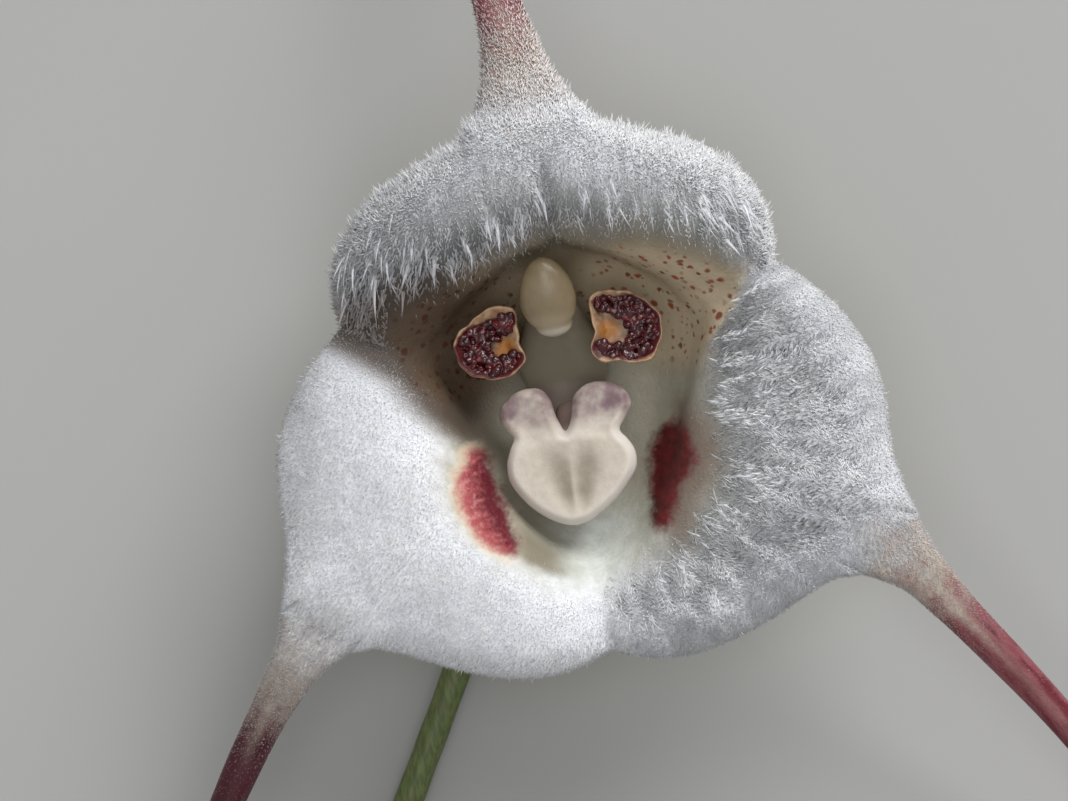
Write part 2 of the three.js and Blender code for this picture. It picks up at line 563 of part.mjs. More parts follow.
const flower = new THREE.Group();
flower.add(
  ...face,
  piece("sepal_cup", sepalCup({
    perLobe: 9,
    acrossTail: 6,
    rows: [0.5, 1, 1.5, 2, 2.5, 3, 3.33, 3.66, 4, 4.5, 5, 5.5, 5.85, 6],
    tailSteps: [0.03, 0.07, 0.12, 0.2, 0.3, 0.4, 0.5, 0.6, 0.7, 0.78, 0.86, 0.93, 0.985, 0.995],
  }), 0xe9e8e2, 0.8),
  piece("ovary", ovary(), 0x93a26a, 0.6),
  piece("bract", bract(), 0xb7a06c, 0.8),
  piece("stem", stem(), 0x6f7a48, 0.6),
);
flower.position.set(THROAT_X, THROAT_Y, 0);

export default flower;
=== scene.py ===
"""A monkey face orchid flower, lying face up as it was picked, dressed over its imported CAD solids.

Three hairy sepals are grown into one cup with three long tails. Two warty petals and a hooded column stand
in the cup and make the eyes and nose of the face, and the lip makes its mouth. Behind the cup are the ribbed
ovary, its bract and the cut stem. Shapes are worked out in millimetres about the throat's axis, +Y towards
the dorsal sepal and +Z out of the face, and are put into the frame in metres.
"""

import math

import bmesh
import bpy
import numpy as np
from mathutils import Matrix, Vector, noise


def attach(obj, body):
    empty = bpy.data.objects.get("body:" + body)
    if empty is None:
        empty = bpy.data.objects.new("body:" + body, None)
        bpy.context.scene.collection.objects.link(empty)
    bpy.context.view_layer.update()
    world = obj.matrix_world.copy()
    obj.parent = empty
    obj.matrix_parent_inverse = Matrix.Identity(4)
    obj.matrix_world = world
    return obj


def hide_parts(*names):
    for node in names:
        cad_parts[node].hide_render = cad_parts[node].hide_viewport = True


bl_info = {
    "name": "Monkey Face Orchid Flower",
    "version": (1, 0, 0),
    "blender": (4, 5, 0),
    "location": "View3D > Sidebar > Orchid",
    "description": "Builds the flower's sepals, hairs, petals, lip, column and stalk round its solids",
    "category": "Object",
}

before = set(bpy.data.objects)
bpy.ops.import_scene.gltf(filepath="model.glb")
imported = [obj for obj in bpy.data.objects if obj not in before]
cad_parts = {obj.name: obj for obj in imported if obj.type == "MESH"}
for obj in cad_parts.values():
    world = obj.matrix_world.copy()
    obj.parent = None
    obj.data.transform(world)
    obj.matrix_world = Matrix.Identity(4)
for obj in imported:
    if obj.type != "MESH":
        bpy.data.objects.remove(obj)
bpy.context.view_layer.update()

MM = 0.001
PER_MM2 = 1e6
THROAT = np.array([-0.05, -5.1, 0.0])  # the throat's axis in the frame, in millimetres
FACE_X = -0.45  # the column, petals and lip stand a little to the left in the throat
RANDOM_SEED = 7
SAME_PLACE = 2e-7  # points nearer than this, in metres, are one


# ---- smooth curves ----------------------------------------------------------------------------------------


def clamp01(x):
    return np.clip(x, 0.0, 1.0)


def ease(x):
    """Rises smoothly from 0 to 1 as x does."""
    x = clamp01(np.asarray(x, float))
    return x * x * (3 - 2 * x)


def between(x, low, rise, high, fall):
    """Rises smoothly over a distance from low, and falls over another to high."""
    return ease((x - low) / rise) * ease((high - x) / fall)


def bell(x, middle, width):
    return np.exp(-(((x - middle) / width) ** 2))


def leftward(x):
    """0 to the right of the face's middle, and 1 well to the left of it."""
    return ease((2.0 - x) / 6.0)


def rotated(x, y, angle):
    c, s = math.cos(angle), math.sin(angle)
    return c * x - s * y, s * x + c * y


def mix(a, b, share):
    return a + (b - a) * share


def tangents(knots, values, flat_ends):
    """Slopes at the knots, which run along the last axis of both arrays."""
    steps = np.diff(knots)
    slopes = np.diff(values) / steps
    inner = (slopes[..., :-1] * steps[..., 1:] + slopes[..., 1:] * steps[..., :-1]) / (
        steps[..., 1:] + steps[..., :-1]
    )
    ends = 0.0 if flat_ends else 1.0
    return np.concatenate([slopes[..., :1] * ends, inner, slopes[..., -1:] * ends], axis=-1)


def hermite(start, end, slope_start, slope_end, step, t):
    return (
        start
        + (end - start) * t * t * (3 - 2 * t)
        + step * slope_start * t * (1 - t) ** 2
        - step * slope_end * t * t * (1 - t)
    )


def spline(knots, values, flat_ends=False):
    """A smooth curve through values at rising knots; flat at both ends if asked."""
    knots = np.asarray(knots, float)
    values = np.asarray(values, float)
    slope = tangents(knots, values, flat_ends)

    def at(x):
        x = np.clip(np.asarray(x, float), knots[0], knots[-1])
        i = np.clip(np.searchsorted(knots, x, side="left") - 1, 0, len(knots) - 2)
        step = knots[i + 1] - knots[i]
        t = (x - knots[i]) / step
        return hermite(values[i], values[i + 1], slope[i], slope[i + 1], step, t)

    return at


class Route:
    """A smooth line through points in space, by distance along it."""

    def __init__(self, points):
        points = np.asarray(points, float)
        gaps = np.linalg.norm(np.diff(points, axis=0), axis=1)
        distance = np.concatenate([[0.0], np.cumsum(gaps)])
        self.length = distance[-1]
        self.axes = [spline(distance, points[:, k]) for k in range(points.shape[1])]

    def at(self, distance):
        return np.stack([axis(distance) for axis in self.axes], axis=-1)

    def place(self, distance):
        """Where the line is, and which way is along, aside and up from it."""
        distance = np.asarray(distance, float)
        along = unit(self.at(distance + 0.05) - self.at(distance - 0.05))
        aside = unit(np.cross(along, [0.0, 0.0, 1.0]))
        return self.at(distance), along, aside, np.cross(aside, along)


def unit(vectors):
    return vectors / np.maximum(np.linalg.norm(vectors, axis=-1, keepdims=True), 1e-12)


def turns(sides):
    """The angles of a ring's points, once round."""
    return np.linspace(0, 2 * np.pi, sides, endpoint=False)


def lumps(points, size, seed=0.0):
    """Smooth random numbers about -1 to 1 at points in millimetres; size is that of one lump."""
    flat = np.asarray(points, float).reshape(-1, 3) / size + seed
    values = np.array([noise.noise(Vector(p)) for p in flat])
    return values.reshape(np.asarray(points).shape[:-1])


# ---- meshes -----------------------------------------------------------------------------------------------


def add_layer(mesh, key, values):
    """Stores a number, or a vector, for each of the mesh's points."""
    values = np.asarray(values, np.float32)
    kind, field = ("FLOAT_VECTOR", "vector") if values.ndim == 2 else ("FLOAT", "value")
    mesh.attributes.new(key, kind, "POINT").data.foreach_set(field, values.ravel())


def mesh_from(name, points, faces, layers=None):
    """A mesh of points in millimetres about the throat's axis, with seams closed and faces outwards."""
    mesh = bpy.data.meshes.new(name)
    mesh.from_pydata((np.asarray(points) + THROAT) * MM, [], faces)
    for key, values in (layers or {}).items():
        add_layer(mesh, key, values)
    tidy = bmesh.new()
    tidy.from_mesh(mesh)
    bmesh.ops.remove_doubles(tidy, verts=tidy.verts, dist=SAME_PLACE)
    bmesh.ops.recalc_face_normals(tidy, faces=tidy.faces)
    for face in tidy.faces:
        face.smooth = True
    tidy.to_mesh(mesh)
    tidy.free()
    return mesh


def new_object(name, mesh):
    made = bpy.data.objects.new(name, mesh)
    bpy.context.scene.collection.objects.link(made)
    return made


def finish_piece(piece, slot, *nodes):
    """Puts the piece on the flower's one body and hides the solids it stands for. The slot is not used."""
    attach(piece, "root")
    if nodes:
        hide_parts(*nodes)


def add_piece(name, mesh, material, slot, node_name):
    """A finished piece of one mesh and one material, for one solid."""
    mesh.materials.append(material)
    finish_piece(new_object(name, mesh), slot, node_name)


def plain_mesh(piece, name):
    """The piece with its modifiers made into a plain mesh, in a new object; the old one is removed."""
    graph = bpy.context.evaluated_depsgraph_get()
    mesh = bpy.data.meshes.new_from_object(piece.evaluated_get(graph), depsgraph=graph)
    bpy.data.objects.remove(piece)
    mesh.name = name
    mesh.polygons.foreach_set("use_smooth", [True] * len(mesh.polygons))
    return new_object(name, mesh)


def one_skin(piece, voxel, softening):
    """Joins the piece's overlapping parts into one skin and softens the joints."""
    remesh = piece.modifiers.new("one skin", "REMESH")
    remesh.mode = "VOXEL"
    remesh.voxel_size = voxel * MM
    soften = piece.modifiers.new("soft joints", "SMOOTH")
    soften.factor = 0.5
    soften.iterations = softening


def open_faces(index):
    """Quads over a grid of point numbers."""
    return np.stack([index[:-1, :-1], index[1:, :-1], index[1:, 1:], index[:-1, 1:]], axis=-1)


def wrapped_faces(index):
    """Quads over a grid of point numbers whose second axis closes on itself."""
    here, beside = index[:-1], np.roll(index, -1, axis=1)[:-1]
    above, across = index[1:], np.roll(index, -1, axis=1)[1:]
    return np.stack([here, beside, across, above], axis=-1).reshape(-1, 4).tolist()


def skin(rings, first, last):
    """Points and faces of the skin over closed rings, drawn to a point at both ends."""
    count, sides = rings.shape[:2]
    points = np.concatenate([[first], rings.reshape(-1, 3), [last]])
    index = 1 + np.arange(count * sides).reshape(count, sides)
    faces = wrapped_faces(index)
    for k in range(sides):
        faces.append([0, index[0, (k + 1) % sides], index[0, k]])
        faces.append([len(points) - 1, index[-1, k], index[-1, (k + 1) % sides]])
    return points, faces


def rod(line, steps, sides, half_width, half_height=None, shape=None, capped=0.0):
    """Points and faces of a rod along a line, whose ends are rounded or cut.

    shape(turn, distance) is its radius as a share of the half sizes.
    """
    turn = turns(sides)
    here, along, aside, up = line.place(steps)
    reach = np.ones((len(steps), sides)) if shape is None else shape(turn[None, :], steps[:, None])
    wide = (-np.cos(turn)[None, :] * reach * half_width(steps)[:, None])[..., None]
    high = (np.sin(turn)[None, :] * reach * (half_height or half_width)(steps)[:, None])[..., None]
    rings = here[:, None] + wide * aside[:, None] + high * up[:, None]
    return skin(rings, here[0] - capped * along[0], here[-1] + capped * along[-1])


def joined(parts):
    """Several (points, faces) as one."""
    points, faces, base = [], [], 0
    for some_points, some_faces in parts:
        points.append(some_points)
        faces += [[base + k for k in face] for face in some_faces]
        base += len(some_points)
    return np.concatenate(points), faces


class SkinParts:
    """A skin put together from grids of points, with the same layers on each."""

    def __init__(self, *keys):
        self.points = []
        self.faces = []
        self.layers = {key: [] for key in keys}

    def add(self, points, **values):
        """Adds a grid of points, with each layer's value or values on it, and gives their numbers."""
        base = sum(len(some) for some in self.points)
        self.points.append(points.reshape(-1, 3))
        for key, layer in self.layers.items():
            layer.append(np.broadcast_to(values[key], points.shape[:-1]).ravel())
        return base + np.arange(points.size // 3).reshape(points.shape[:-1])


# ---- nodes ------------------------------------------------------------------------------------------------


class Value:
    """What a node gives: a number, a place or a colour. Numbers can be added, taken away and multiplied."""

    def __init__(self, socket):
        self.socket = socket
        self.tree = socket.id_data

    def __add__(self, other):
        return calc(self.tree, "ADD", self, other)

    def __sub__(self, other):
        return calc(self.tree, "SUBTRACT", self, other)

    def __rsub__(self, other):
        return calc(self.tree, "SUBTRACT", other, self)

    def __mul__(self, other):
        return calc(self.tree, "MULTIPLY", self, other)

    def __abs__(self):
        return calc(self.tree, "ABSOLUTE", self)


def node(tree, kind, inputs=None, **settings):
    """A node with its settings, and with numbers or links on its inputs."""
    made = tree.nodes.new(kind)
    for key, value in settings.items():
        setattr(made, key, value)
    for key, value in (inputs or {}).items():
        if isinstance(value, Value):
            tree.links.new(value.socket, made.inputs[key])
        else:
            made.inputs[key].default_value = value
    return made


def result(tree, kind, inputs=None, output=0, **settings):
    """One output of a new node."""
    return Value(node(tree, kind, inputs, **settings).outputs[output])


def calc(tree, operation, a, b=0.0, c=0.0):
    return result(tree, "ShaderNodeMath", {0: a, 1: b, 2: c}, operation=operation)


def rising(value, low, high, to_low=0.0, to_high=1.0):
    """Runs smoothly from to_low to to_high as the value goes from low to high."""
    inputs = {"Value": value, "From Min": low, "From Max": high, "To Min": to_low, "To Max": to_high}
    return result(value.tree, "ShaderNodeMapRange", inputs, interpolation_type="SMOOTHSTEP")


def blend(share, a, b):
    """Colour a, mixed with colour b by the share."""
    return result(share.tree, "ShaderNodeMix", {0: share, 6: a, 7: b}, 2, data_type="RGBA")


def attribute(tree, name):
    return result(tree, "ShaderNodeAttribute", output="Fac", attribute_name=name)


def axis(place, letter):
    """How far a place is along X, Y or Z, in metres."""
    return result(place.tree, "ShaderNodeSeparateXYZ", {0: place}, letter)


def patches(place, size, detail=3.0, rough=0.5, seed=0.0):
    """Smooth noise from 0 to 1 whose patches are about size millimetres."""
    inputs = {"Vector": place, "W": seed, "Scale": 1 / (size * MM), "Detail": detail, "Roughness": rough}
    return result(place.tree, "ShaderNodeTexNoise", inputs, "Fac", noise_dimensions="4D")


def linear(red, green, blue):
    """A colour given by its screen values, 0 to 255, as linear light."""
    shares = [channel / 255 for channel in (red, green, blue)]
    return (*[s / 12.92 if s <= 0.04045 else ((s + 0.055) / 1.055) ** 2.4 for s in shares], 1.0)


def new_material(name, **constants):
    """A material with one shader, its tree and its object coordinates."""
    material = bpy.data.materials.new(name)
    material.use_nodes = True
    tree = material.node_tree
    shader = tree.nodes["Principled BSDF"]
    for key, value in constants.items():
        shader.inputs[key.replace("_", " ")].default_value = value
    return material, tree, result(tree, "ShaderNodeTexCoord", output="Object")


def finished(material, colour, height=None, depth=0.0, roughness=None):
    """The material with its colour, and with its relief, a height of 0 to 1 times depth millimetres."""
    tree = material.node_tree
    inputs = tree.nodes["Principled BSDF"].inputs
    tree.links.new(colour.socket, inputs["Base Color"])
    if roughness is not None:
        tree.links.new(roughness.socket, inputs["Roughness"])
    if height is not None:
        relief = result(tree, "ShaderNodeBump", {"Strength": 1.0, "Distance": depth * MM, "Height": height})
        tree.links.new(relief.socket, inputs["Normal"])
    return material


# ---- sizes and colours that a user may change -------------------------------------------------------------


def colour_prop(name, description, value):
    return bpy.props.FloatVectorProperty(
        name=name, description=description, subtype="COLOR", size=4, min=0, max=1, default=value
    )


def size_prop(name, description, millimetres):
    return bpy.props.FloatProperty(
        name=name, description=description, default=millimetres * MM, min=0, precision=5, unit="LENGTH"
    )


def count_prop(name, description, count):
    return bpy.props.FloatProperty(name=name, description=description, default=count, min=1)


class OrchidSepalSettings(bpy.types.PropertyGroup):
    velvet: colour_prop("Velvet", "Colour of the sepals' face", linear(235, 236, 239))
    throat: colour_prop("Throat", "Colour of the bare throat", linear(176, 172, 156))
    spotted: colour_prop("Spotted ground", "Ground of the spots round the petals", linear(206, 190, 162))
    spot: colour_prop("Spots", "Colour of the spots round the petals", linear(166, 70, 38))
    wine: colour_prop("Wine marks", "Colour of the two marks beside the lip", linear(180, 92, 94))
    fringe: colour_prop("Fringe", "Colour round the wine marks", linear(232, 216, 184))
    tail: colour_prop("Tails", "Colour of the outer tails", linear(104, 34, 46))
    back: colour_prop("Back", "Colour of the sepals' back", linear(214, 210, 184))


class OrchidHairSettings(bpy.types.PropertyGroup):
    colour: colour_prop("Colour", "Colour of the hairs", linear(249, 250, 255))
    velvet_density: count_prop("Velvet per square millimetre", "How close the short hairs stand", 215)
    velvet_length: size_prop("Velvet length", "Length of the short hairs", 0.13)
    brow_density: count_prop("Long hairs per square millimetre", "How close the long hairs stand", 6.5)
    brow_length: size_prop("Long hair length", "Length of the longest hairs on the brow", 1.5)
    comb_length: size_prop("Combed hair length", "Length of the longest hairs beside the throat", 0.62)


class OrchidFaceSettings(bpy.types.PropertyGroup):
    rim: colour_prop("Petal rim", "Colour of the petals' rim", linear(190, 158, 126))
    wart: colour_prop("Warts", "Colour of the petals' warts", linear(78, 8, 16))
    centre: colour_prop("Petal centre", "Colour of the patch between the warts", linear(178, 118, 54))
    wart_radius: size_prop("Wart radius", "Radius of a wart", 0.17)
    lip: colour_prop("Lip", "Colour of the lip", linear(208, 200, 188))
    lip_groove: colour_prop("Lip grooves", "Colour of the grooves in the lip", linear(152, 142, 126))
    ears: colour_prop("Lip ears", "Colour of the lip's side lobes", linear(128, 104, 110))
    cap: colour_prop("Anther cap", "Colour of the anther cap", linear(142, 126, 98))
    column: colour_prop("Column", "Colour of the column", linear(136, 126, 110))


class OrchidStalkSettings(bpy.types.PropertyGroup):
    ovary: colour_prop("Ovary", "Colour of the ovary", linear(150, 160, 104))
    bract: colour_prop("Bract", "Colour of the papery bract", linear(192, 178, 138))
    stem: colour_prop("Stem", "Colour of the stem", linear(104, 118, 66))


class OrchidStageSettings(bpy.types.PropertyGroup):
    floor: colour_prop("Floor", "Colour of the floor", linear(172, 172, 171))
    key_power: bpy.props.FloatProperty(
        name="Key light", description="Power of the key light", default=6.0, min=0, unit="POWER"
    )
    distance: size_prop("Camera distance", "From the camera to the face", 300)


# ---- the sepals -------------------------------------------------------------------------------------------

CUP_FLOOR = 4.8  # height of the middle of the cup's floor over the surface
CUP_CENTRE = np.array([0.0, 0.0, CUP_FLOOR])
BLADE = 0.8  # thickness of a sepal
EDGE_ROUND = 0.5  # how far in from its edge a sepal is rounded

# The cup in section, in ten directions from the throat's axis in the right half. 90 is the dorsal sepal, -90
# the seam between the lateral sepals, 30 the sinus between dorsal and lateral. Heights are over the floor.
SECTION_ANGLE = [-90, -75, -55, -30, -4, 15, 30, 45, 60, 90]
SECTION = {
    "floor_r": [4.2, 4.0, 3.6, 3.3, 3.4, 3.9, 4.6, 5.0, 5.2, 5.6],
    "floor_z": [0.3, 0.3, 0.3, 0.3, 0.3, 0.3, 0.3, 0.3, 0.3, 0.3],
    "wall_r": [5.9, 5.6, 5.1, 4.7, 4.8, 5.6, 6.7, 7.2, 7.5, 8.0],
    "wall_z": [1.6, 1.8, 2.0, 2.1, 2.1, 2.0, 1.9, 2.0, 2.2, 2.3],
    "mouth_r": [7.1, 7.0, 6.3, 5.7, 5.7, 6.8, 8.2, 8.5, 8.3, 8.6],
    "mouth_z": [3.5, 4.2, 4.8, 5.0, 4.8, 4.3, 3.8, 4.9, 5.5, 5.8],
    "crown_share": [0.42, 0.4, 0.38, 0.36, 0.32, 0.34, 0.4, 0.38, 0.34, 0.3],
    "crown_z": [4.6, 5.4, 6.0, 6.4, 6.2, 5.6, 4.7, 6.6, 7.5, 7.9],
    "shoulder_share": [0.78, 0.78, 0.76, 0.72, 0.72, 0.74, 0.76, 0.78, 0.76, 0.74],
    "shoulder_z": [4.9, 5.6, 5.9, 6.0, 6.0, 5.6, 4.9, 6.2, 7.1, 7.4],
    "rim_z": [4.8, 5.1, 5.1, 5.35, 4.8, 4.7, 4.6, 4.8, 5.7, 6.8],
}
CUP_ROWS = 6  # rows of the section: floor, wall, mouth, crown, shoulder and rim

# The outline of the right half of the face, from the notch between the lateral sepals to the dorsal tail.
LOWER_LOBE = [
    [0, -10.4], [0.9, -10.75], [2.2, -11.05], [3.6, -11.1], [5.2, -10.8], [7.0, -10.2], [8.5, -9.5],
    [9.6, -9.0], [10.6, -8.68], [11.6, -8.72],
]
UPPER_LOBE = [
    [14.45, -6.4], [13.95, -4.6], [13.75, -3.0], [13.8, -1.2], [13.65, 0.2], [13.2, 1.6], [12.5, 2.9],
    [11.5, 4.2], [10.5, 5.2], [9.7, 5.9],
]
DORSAL_SIDE = [
    [9.7, 5.9], [9.7, 7.1], [9.5, 8.45], [8.9, 9.65], [7.9, 10.7], [6.6, 11.55], [5.05, 12.2],
    [3.7, 12.75], [2.8, 13.3], [2.3, 14.1],
]
SINUS_ANGLE = 31.3  # where the dorsal sepal meets a lateral one

# The tails' centre lines from the blades to their tips, and their half widths along them.
DORSAL_TAIL = [
    [0, 14.1, 11.6], [-0.3, 17, 11.2], [-0.75, 20, 10.35], [-1.5, 26, 7.7], [-1.9, 33, 4.1],
    [-1.6, 40, 1.3], [-0.6, 45, 0.5], [0.6, 48, 0.5],
]
RIGHT_TAIL = [
    [13.02, -7.56, 10.15], [14.35, -9.15, 9.95], [15.5, -10.8, 9.6], [19.7, -17.0, 7.4],
    [23.0, -23.0, 4.7], [26.0, -29.0, 2.2], [28.9, -34.2, 0.7], [31.2, -37.4, 0.48],
]
LEFT_TAIL = [
    [-13.02, -7.56, 10.15], [-14.4, -9.15, 9.95], [-15.65, -10.7, 9.6], [-19.5, -16.2, 7.5],
    [-23.3, -22.4, 4.7], [-26.7, -28.6, 2.2], [-29.6, -34.0, 0.7], [-31.0, -37.8, 0.48],
]
TAIL_STEP = [0, 1.6, 3.4, 8, 16, 30, 36]
DORSAL_HALF_WIDTH = [2.3, 1.6, 1.25, 0.95, 0.72, 0.56, 0.5]
LATERAL_HALF_WIDTH = [1.83, 1.2, 0.98, 0.8, 0.66, 0.54, 0.48]
TAIL_HALF_THICKNESS = [0.4, 0.46, 0.52, 0.6, 0.58, 0.5, 0.46]
TINT_SOONER = [1.8, 2.5, 0.8]  # how much nearer the blade each tail turns wine red: right, dorsal, left
PAINTED_SHADE_DORSAL = 0.46  # how much painted shade darkens the dorsal sepal, against the left sepal's middle
PAINTED_SHADE_LEFTWARD = 0.25  # how much more painted shade its left side has
PAINTED_SHADE_RIGHT = 0.8  # painted shade on the right sepal
PAINTED_SHADE_CORNER = 0.35  # painted shade on the left sepal's upper corner
TUFT_WIDE = (0.36, 0.5)  # the tufts of hairs, on the dorsal sepal and on the others
TUFT_LONG = (1.9, 1.3)
CREASE = 0.46  # how deep the crease down the dorsal sepal's middle is
SEAM = 0.2  # how deep the seam between the lateral sepals is
VEIN_WIDTH = 0.28  # of the veins on a sepal's back
VEINS = [(0.0, 0.16), (0.2, 0.08), (-0.2, 0.08)]  # how far aside each bows, and how high it is
TAIL_FADE = 1.5  # how far into the blade a tail's root reaches
TAIL_ROUND_BY = 5  # how far out a tail is quite round
TIP_ROUND = 0.7

COLUMNS_PER_PART = 58  # of the outline, which has six parts
ACROSS_TAIL = 14
ROWS_PER_STEP = 13
TAIL_ROWS = 90

# Where the velvet starts, as a distance from the throat's axis in each direction.
VELVET_ANGLE = [
    -180, -156, -121, -94, -70, -30, 0, 22, 28, 33, 43, 58, 73, 90, 107, 125, 137, 146, 149, 162, 180,
]
VELVET_START = [
    5.6, 6.5, 6.8, 7.4, 6.9, 6.2, 5.2, 6.6, 8.7, 10.3, 9.4, 8.8, 8.1, 8.2, 7.8, 8.0, 8.9, 9.5, 8.7, 6.7, 5.6,
]

# The wine marks beside the lip: centre lines and half widths along them.
LEFT_MARK = [[-4.75, -1.05], [-4.95, -1.9], [-4.78, -3.0], [-4.42, -4.1], [-3.7, -5.4]]
LEFT_MARK_HALF = [0.44, 0.76, 0.86, 0.72, 0.18]
RIGHT_MARK = [[4.0, -1.3], [4.0, -2.0], [3.6, -2.9], [3.3, -3.9], [3.12, -4.85]]
RIGHT_MARK_HALF = [0.66, 1.14, 0.84, 0.68, 0.54]
# Where the painted shadow of the hood ends: a dusky patch that runs from the left petal over the sepals'
# corner.
PAINTED_HOOD_SHADOW_EDGE = [
    [-4.2, -1.5], [-5.4, -0.2], [-6.1, 0.35], [-6.9, 1.4], [-7.6, 2.9], [-8.95, 4.1], [-10.3, 5.1],
    [-11.0, 6.5],
]
MARK_STEPS = 60  # places along a mark's centre line that a distance is measured to
# The spotted ground on each side of the column: an oval's centre, radii and turn, mirrored for the left.
SPOTTED_CENTRE = (4.5, 4.6)
SPOTTED_RADII = (4.5, 2.8)
SPOTTED_TURN = math.radians(-24)

section_at = {key: spline(SECTION_ANGLE, values, True) for key, values in SECTION.items()}
tail_half_thickness = spline(TAIL_STEP, TAIL_HALF_THICKNESS)
TAILS = [
    {"line": Route(RIGHT_TAIL), "half_width": spline(TAIL_STEP, LATERAL_HALF_WIDTH)},
    {"line": Route(DORSAL_TAIL), "half_width": spline(TAIL_STEP, DORSAL_HALF_WIDTH)},
    {"line": Route(LEFT_TAIL), "half_width": spline(TAIL_STEP, LATERAL_HALF_WIDTH)},
]


def wave(x, y, radius):
    """A slow wave over the blades, none in the throat."""
    blade = ease((radius - 7) / 3)
    slow = 0.16 * np.sin(0.55 * x + 0.9) * np.sin(0.5 * y - 0.4)
    return blade * (slow + 0.07 * np.sin(1.1 * x - 0.7 * y))


def softened(rim, angle, width):
    """The outline's reach with its corners rounded off over some degrees, for the blade inside it."""
    even = np.arange(-180.0, 180.0, 0.5)
    order = np.argsort(angle)
    reach = np.interp(even, angle[order], rim[order], period=360)
    offsets = np.arange(-4 * width, 4 * width + 0.5, 0.5)
    weights = bell(offsets, 0, width)
    turned = [np.roll(reach, int(2 * offset)) * weight for offset, weight in zip(offsets, weights)]
    return np.interp(angle, even, np.sum(turned, axis=0) / weights.sum(), period=360)


def cup_middle(x, y, rows):
    """The cup's middle surface on the rays to the outline's points, from row 0, the centre, to 6, the rim."""
    rim = np.hypot(x, y)
    angle = np.degrees(np.arctan2(y, x))
    folded = np.degrees(np.arctan2(y, np.abs(x)))
    at = {key: curve(folded) for key, curve in section_at.items()}
    crown = mix(at["mouth_r"], softened(rim, angle, 5.0), at["crown_share"])
    shoulder = mix(at["mouth_r"], mix(rim, softened(rim, angle, 3.0), 0.6), at["shoulder_share"])
    nothing = np.zeros_like(rim)
    radii = np.stack([nothing, at["floor_r"], at["wall_r"], at["mouth_r"], crown, shoulder, rim], axis=-1)
    rows_z = ("floor_z", "wall_z", "mouth_z", "crown_z", "shoulder_z", "rim_z")
    heights = np.stack([nothing, *[at[key] for key in rows_z]], axis=-1)
    steps = np.hypot(np.diff(radii), np.diff(heights))
    knots = np.concatenate([nothing[:, None], np.cumsum(steps, axis=1)], axis=1)
    slopes = [tangents(knots, radii, False), tangents(knots, heights, False)]
    middle = []
    for row in rows:
        i = min(CUP_ROWS - 1, int(row))
        radius, height = (
            hermite(v[:, i], v[:, i + 1], s[:, i], s[:, i + 1], steps[:, i], row - i)
            for v, s in zip((radii, heights), slopes)
        )
        px, py = x / rim * radius, y / rim * radius
        middle.append(np.stack([px, py, CUP_FLOOR + height + wave(px, py, radius)], axis=-1))
    return np.array(middle)


def mirrored(points):
    return [[-x, y] for x, y in reversed(points)]


def cup_columns():
    """Outline points anticlockwise from the notch, each with its tail's number or -1 and angle across it."""
    lobes = [
        [LOWER_LOBE],
        [UPPER_LOBE, DORSAL_SIDE],
        [mirrored(DORSAL_SIDE), mirrored(UPPER_LOBE)],
        [mirrored(LOWER_LOBE)],
    ]
    columns = []
    for number, parts in enumerate(lobes):
        for part, outline in enumerate(parts):
            line = Route(outline)
            for k in range(1 if part else 0, COLUMNS_PER_PART + 1):
                x, y = line.at(line.length * k / COLUMNS_PER_PART)
                columns.append([x, y, -1, 0.0])
        if number == len(TAILS):
            continue
        columns[-1][2] = number
        near, far = np.array(columns[-1][:2]), np.array(lobes[number + 1][0][0])
        for k in range(1, ACROSS_TAIL):
            across = math.pi * k / ACROSS_TAIL
            edge = mix(near, far, (1 - math.cos(across)) / 2)
            columns.append([edge[0], edge[1], number, across])
    return np.array(columns[:-1])


def blade_thickness(inward):
    return BLADE * np.sqrt(1 - (1 - clamp01(inward / EDGE_ROUND)) ** 2)


def tail_thickness(tail, distance, across):
    """Like the blade where the tail leaves it, and round further out."""
    flat = blade_thickness(tail["half_width"](distance) * (1 - np.abs(np.cos(across))))
    round_ = 2 * tail_half_thickness(distance) * np.sin(across)
    return mix(flat, round_, ease(distance / TAIL_ROUND_BY))


def to_line(x, y, points, halves):
    """How far inside a mark a point is, in millimetres: below 0 outside it."""
    line = Route(points)
    steps = np.linspace(0, line.length, MARK_STEPS)
    knots = np.linspace(0, line.length, len(halves))
    along = line.at(steps)
    distance = np.hypot(x[..., None] - along[:, 0], y[..., None] - along[:, 1])
    return (spline(knots, halves)(steps) - distance).max(axis=-1)


def outside_of(x, y, points):
    """How far a point is beyond a mark's centre line, away from the throat's axis."""
    across = np.interp(y, [p[1] for p in reversed(points)], [abs(p[0]) for p in reversed(points)])
    return np.abs(x) - across


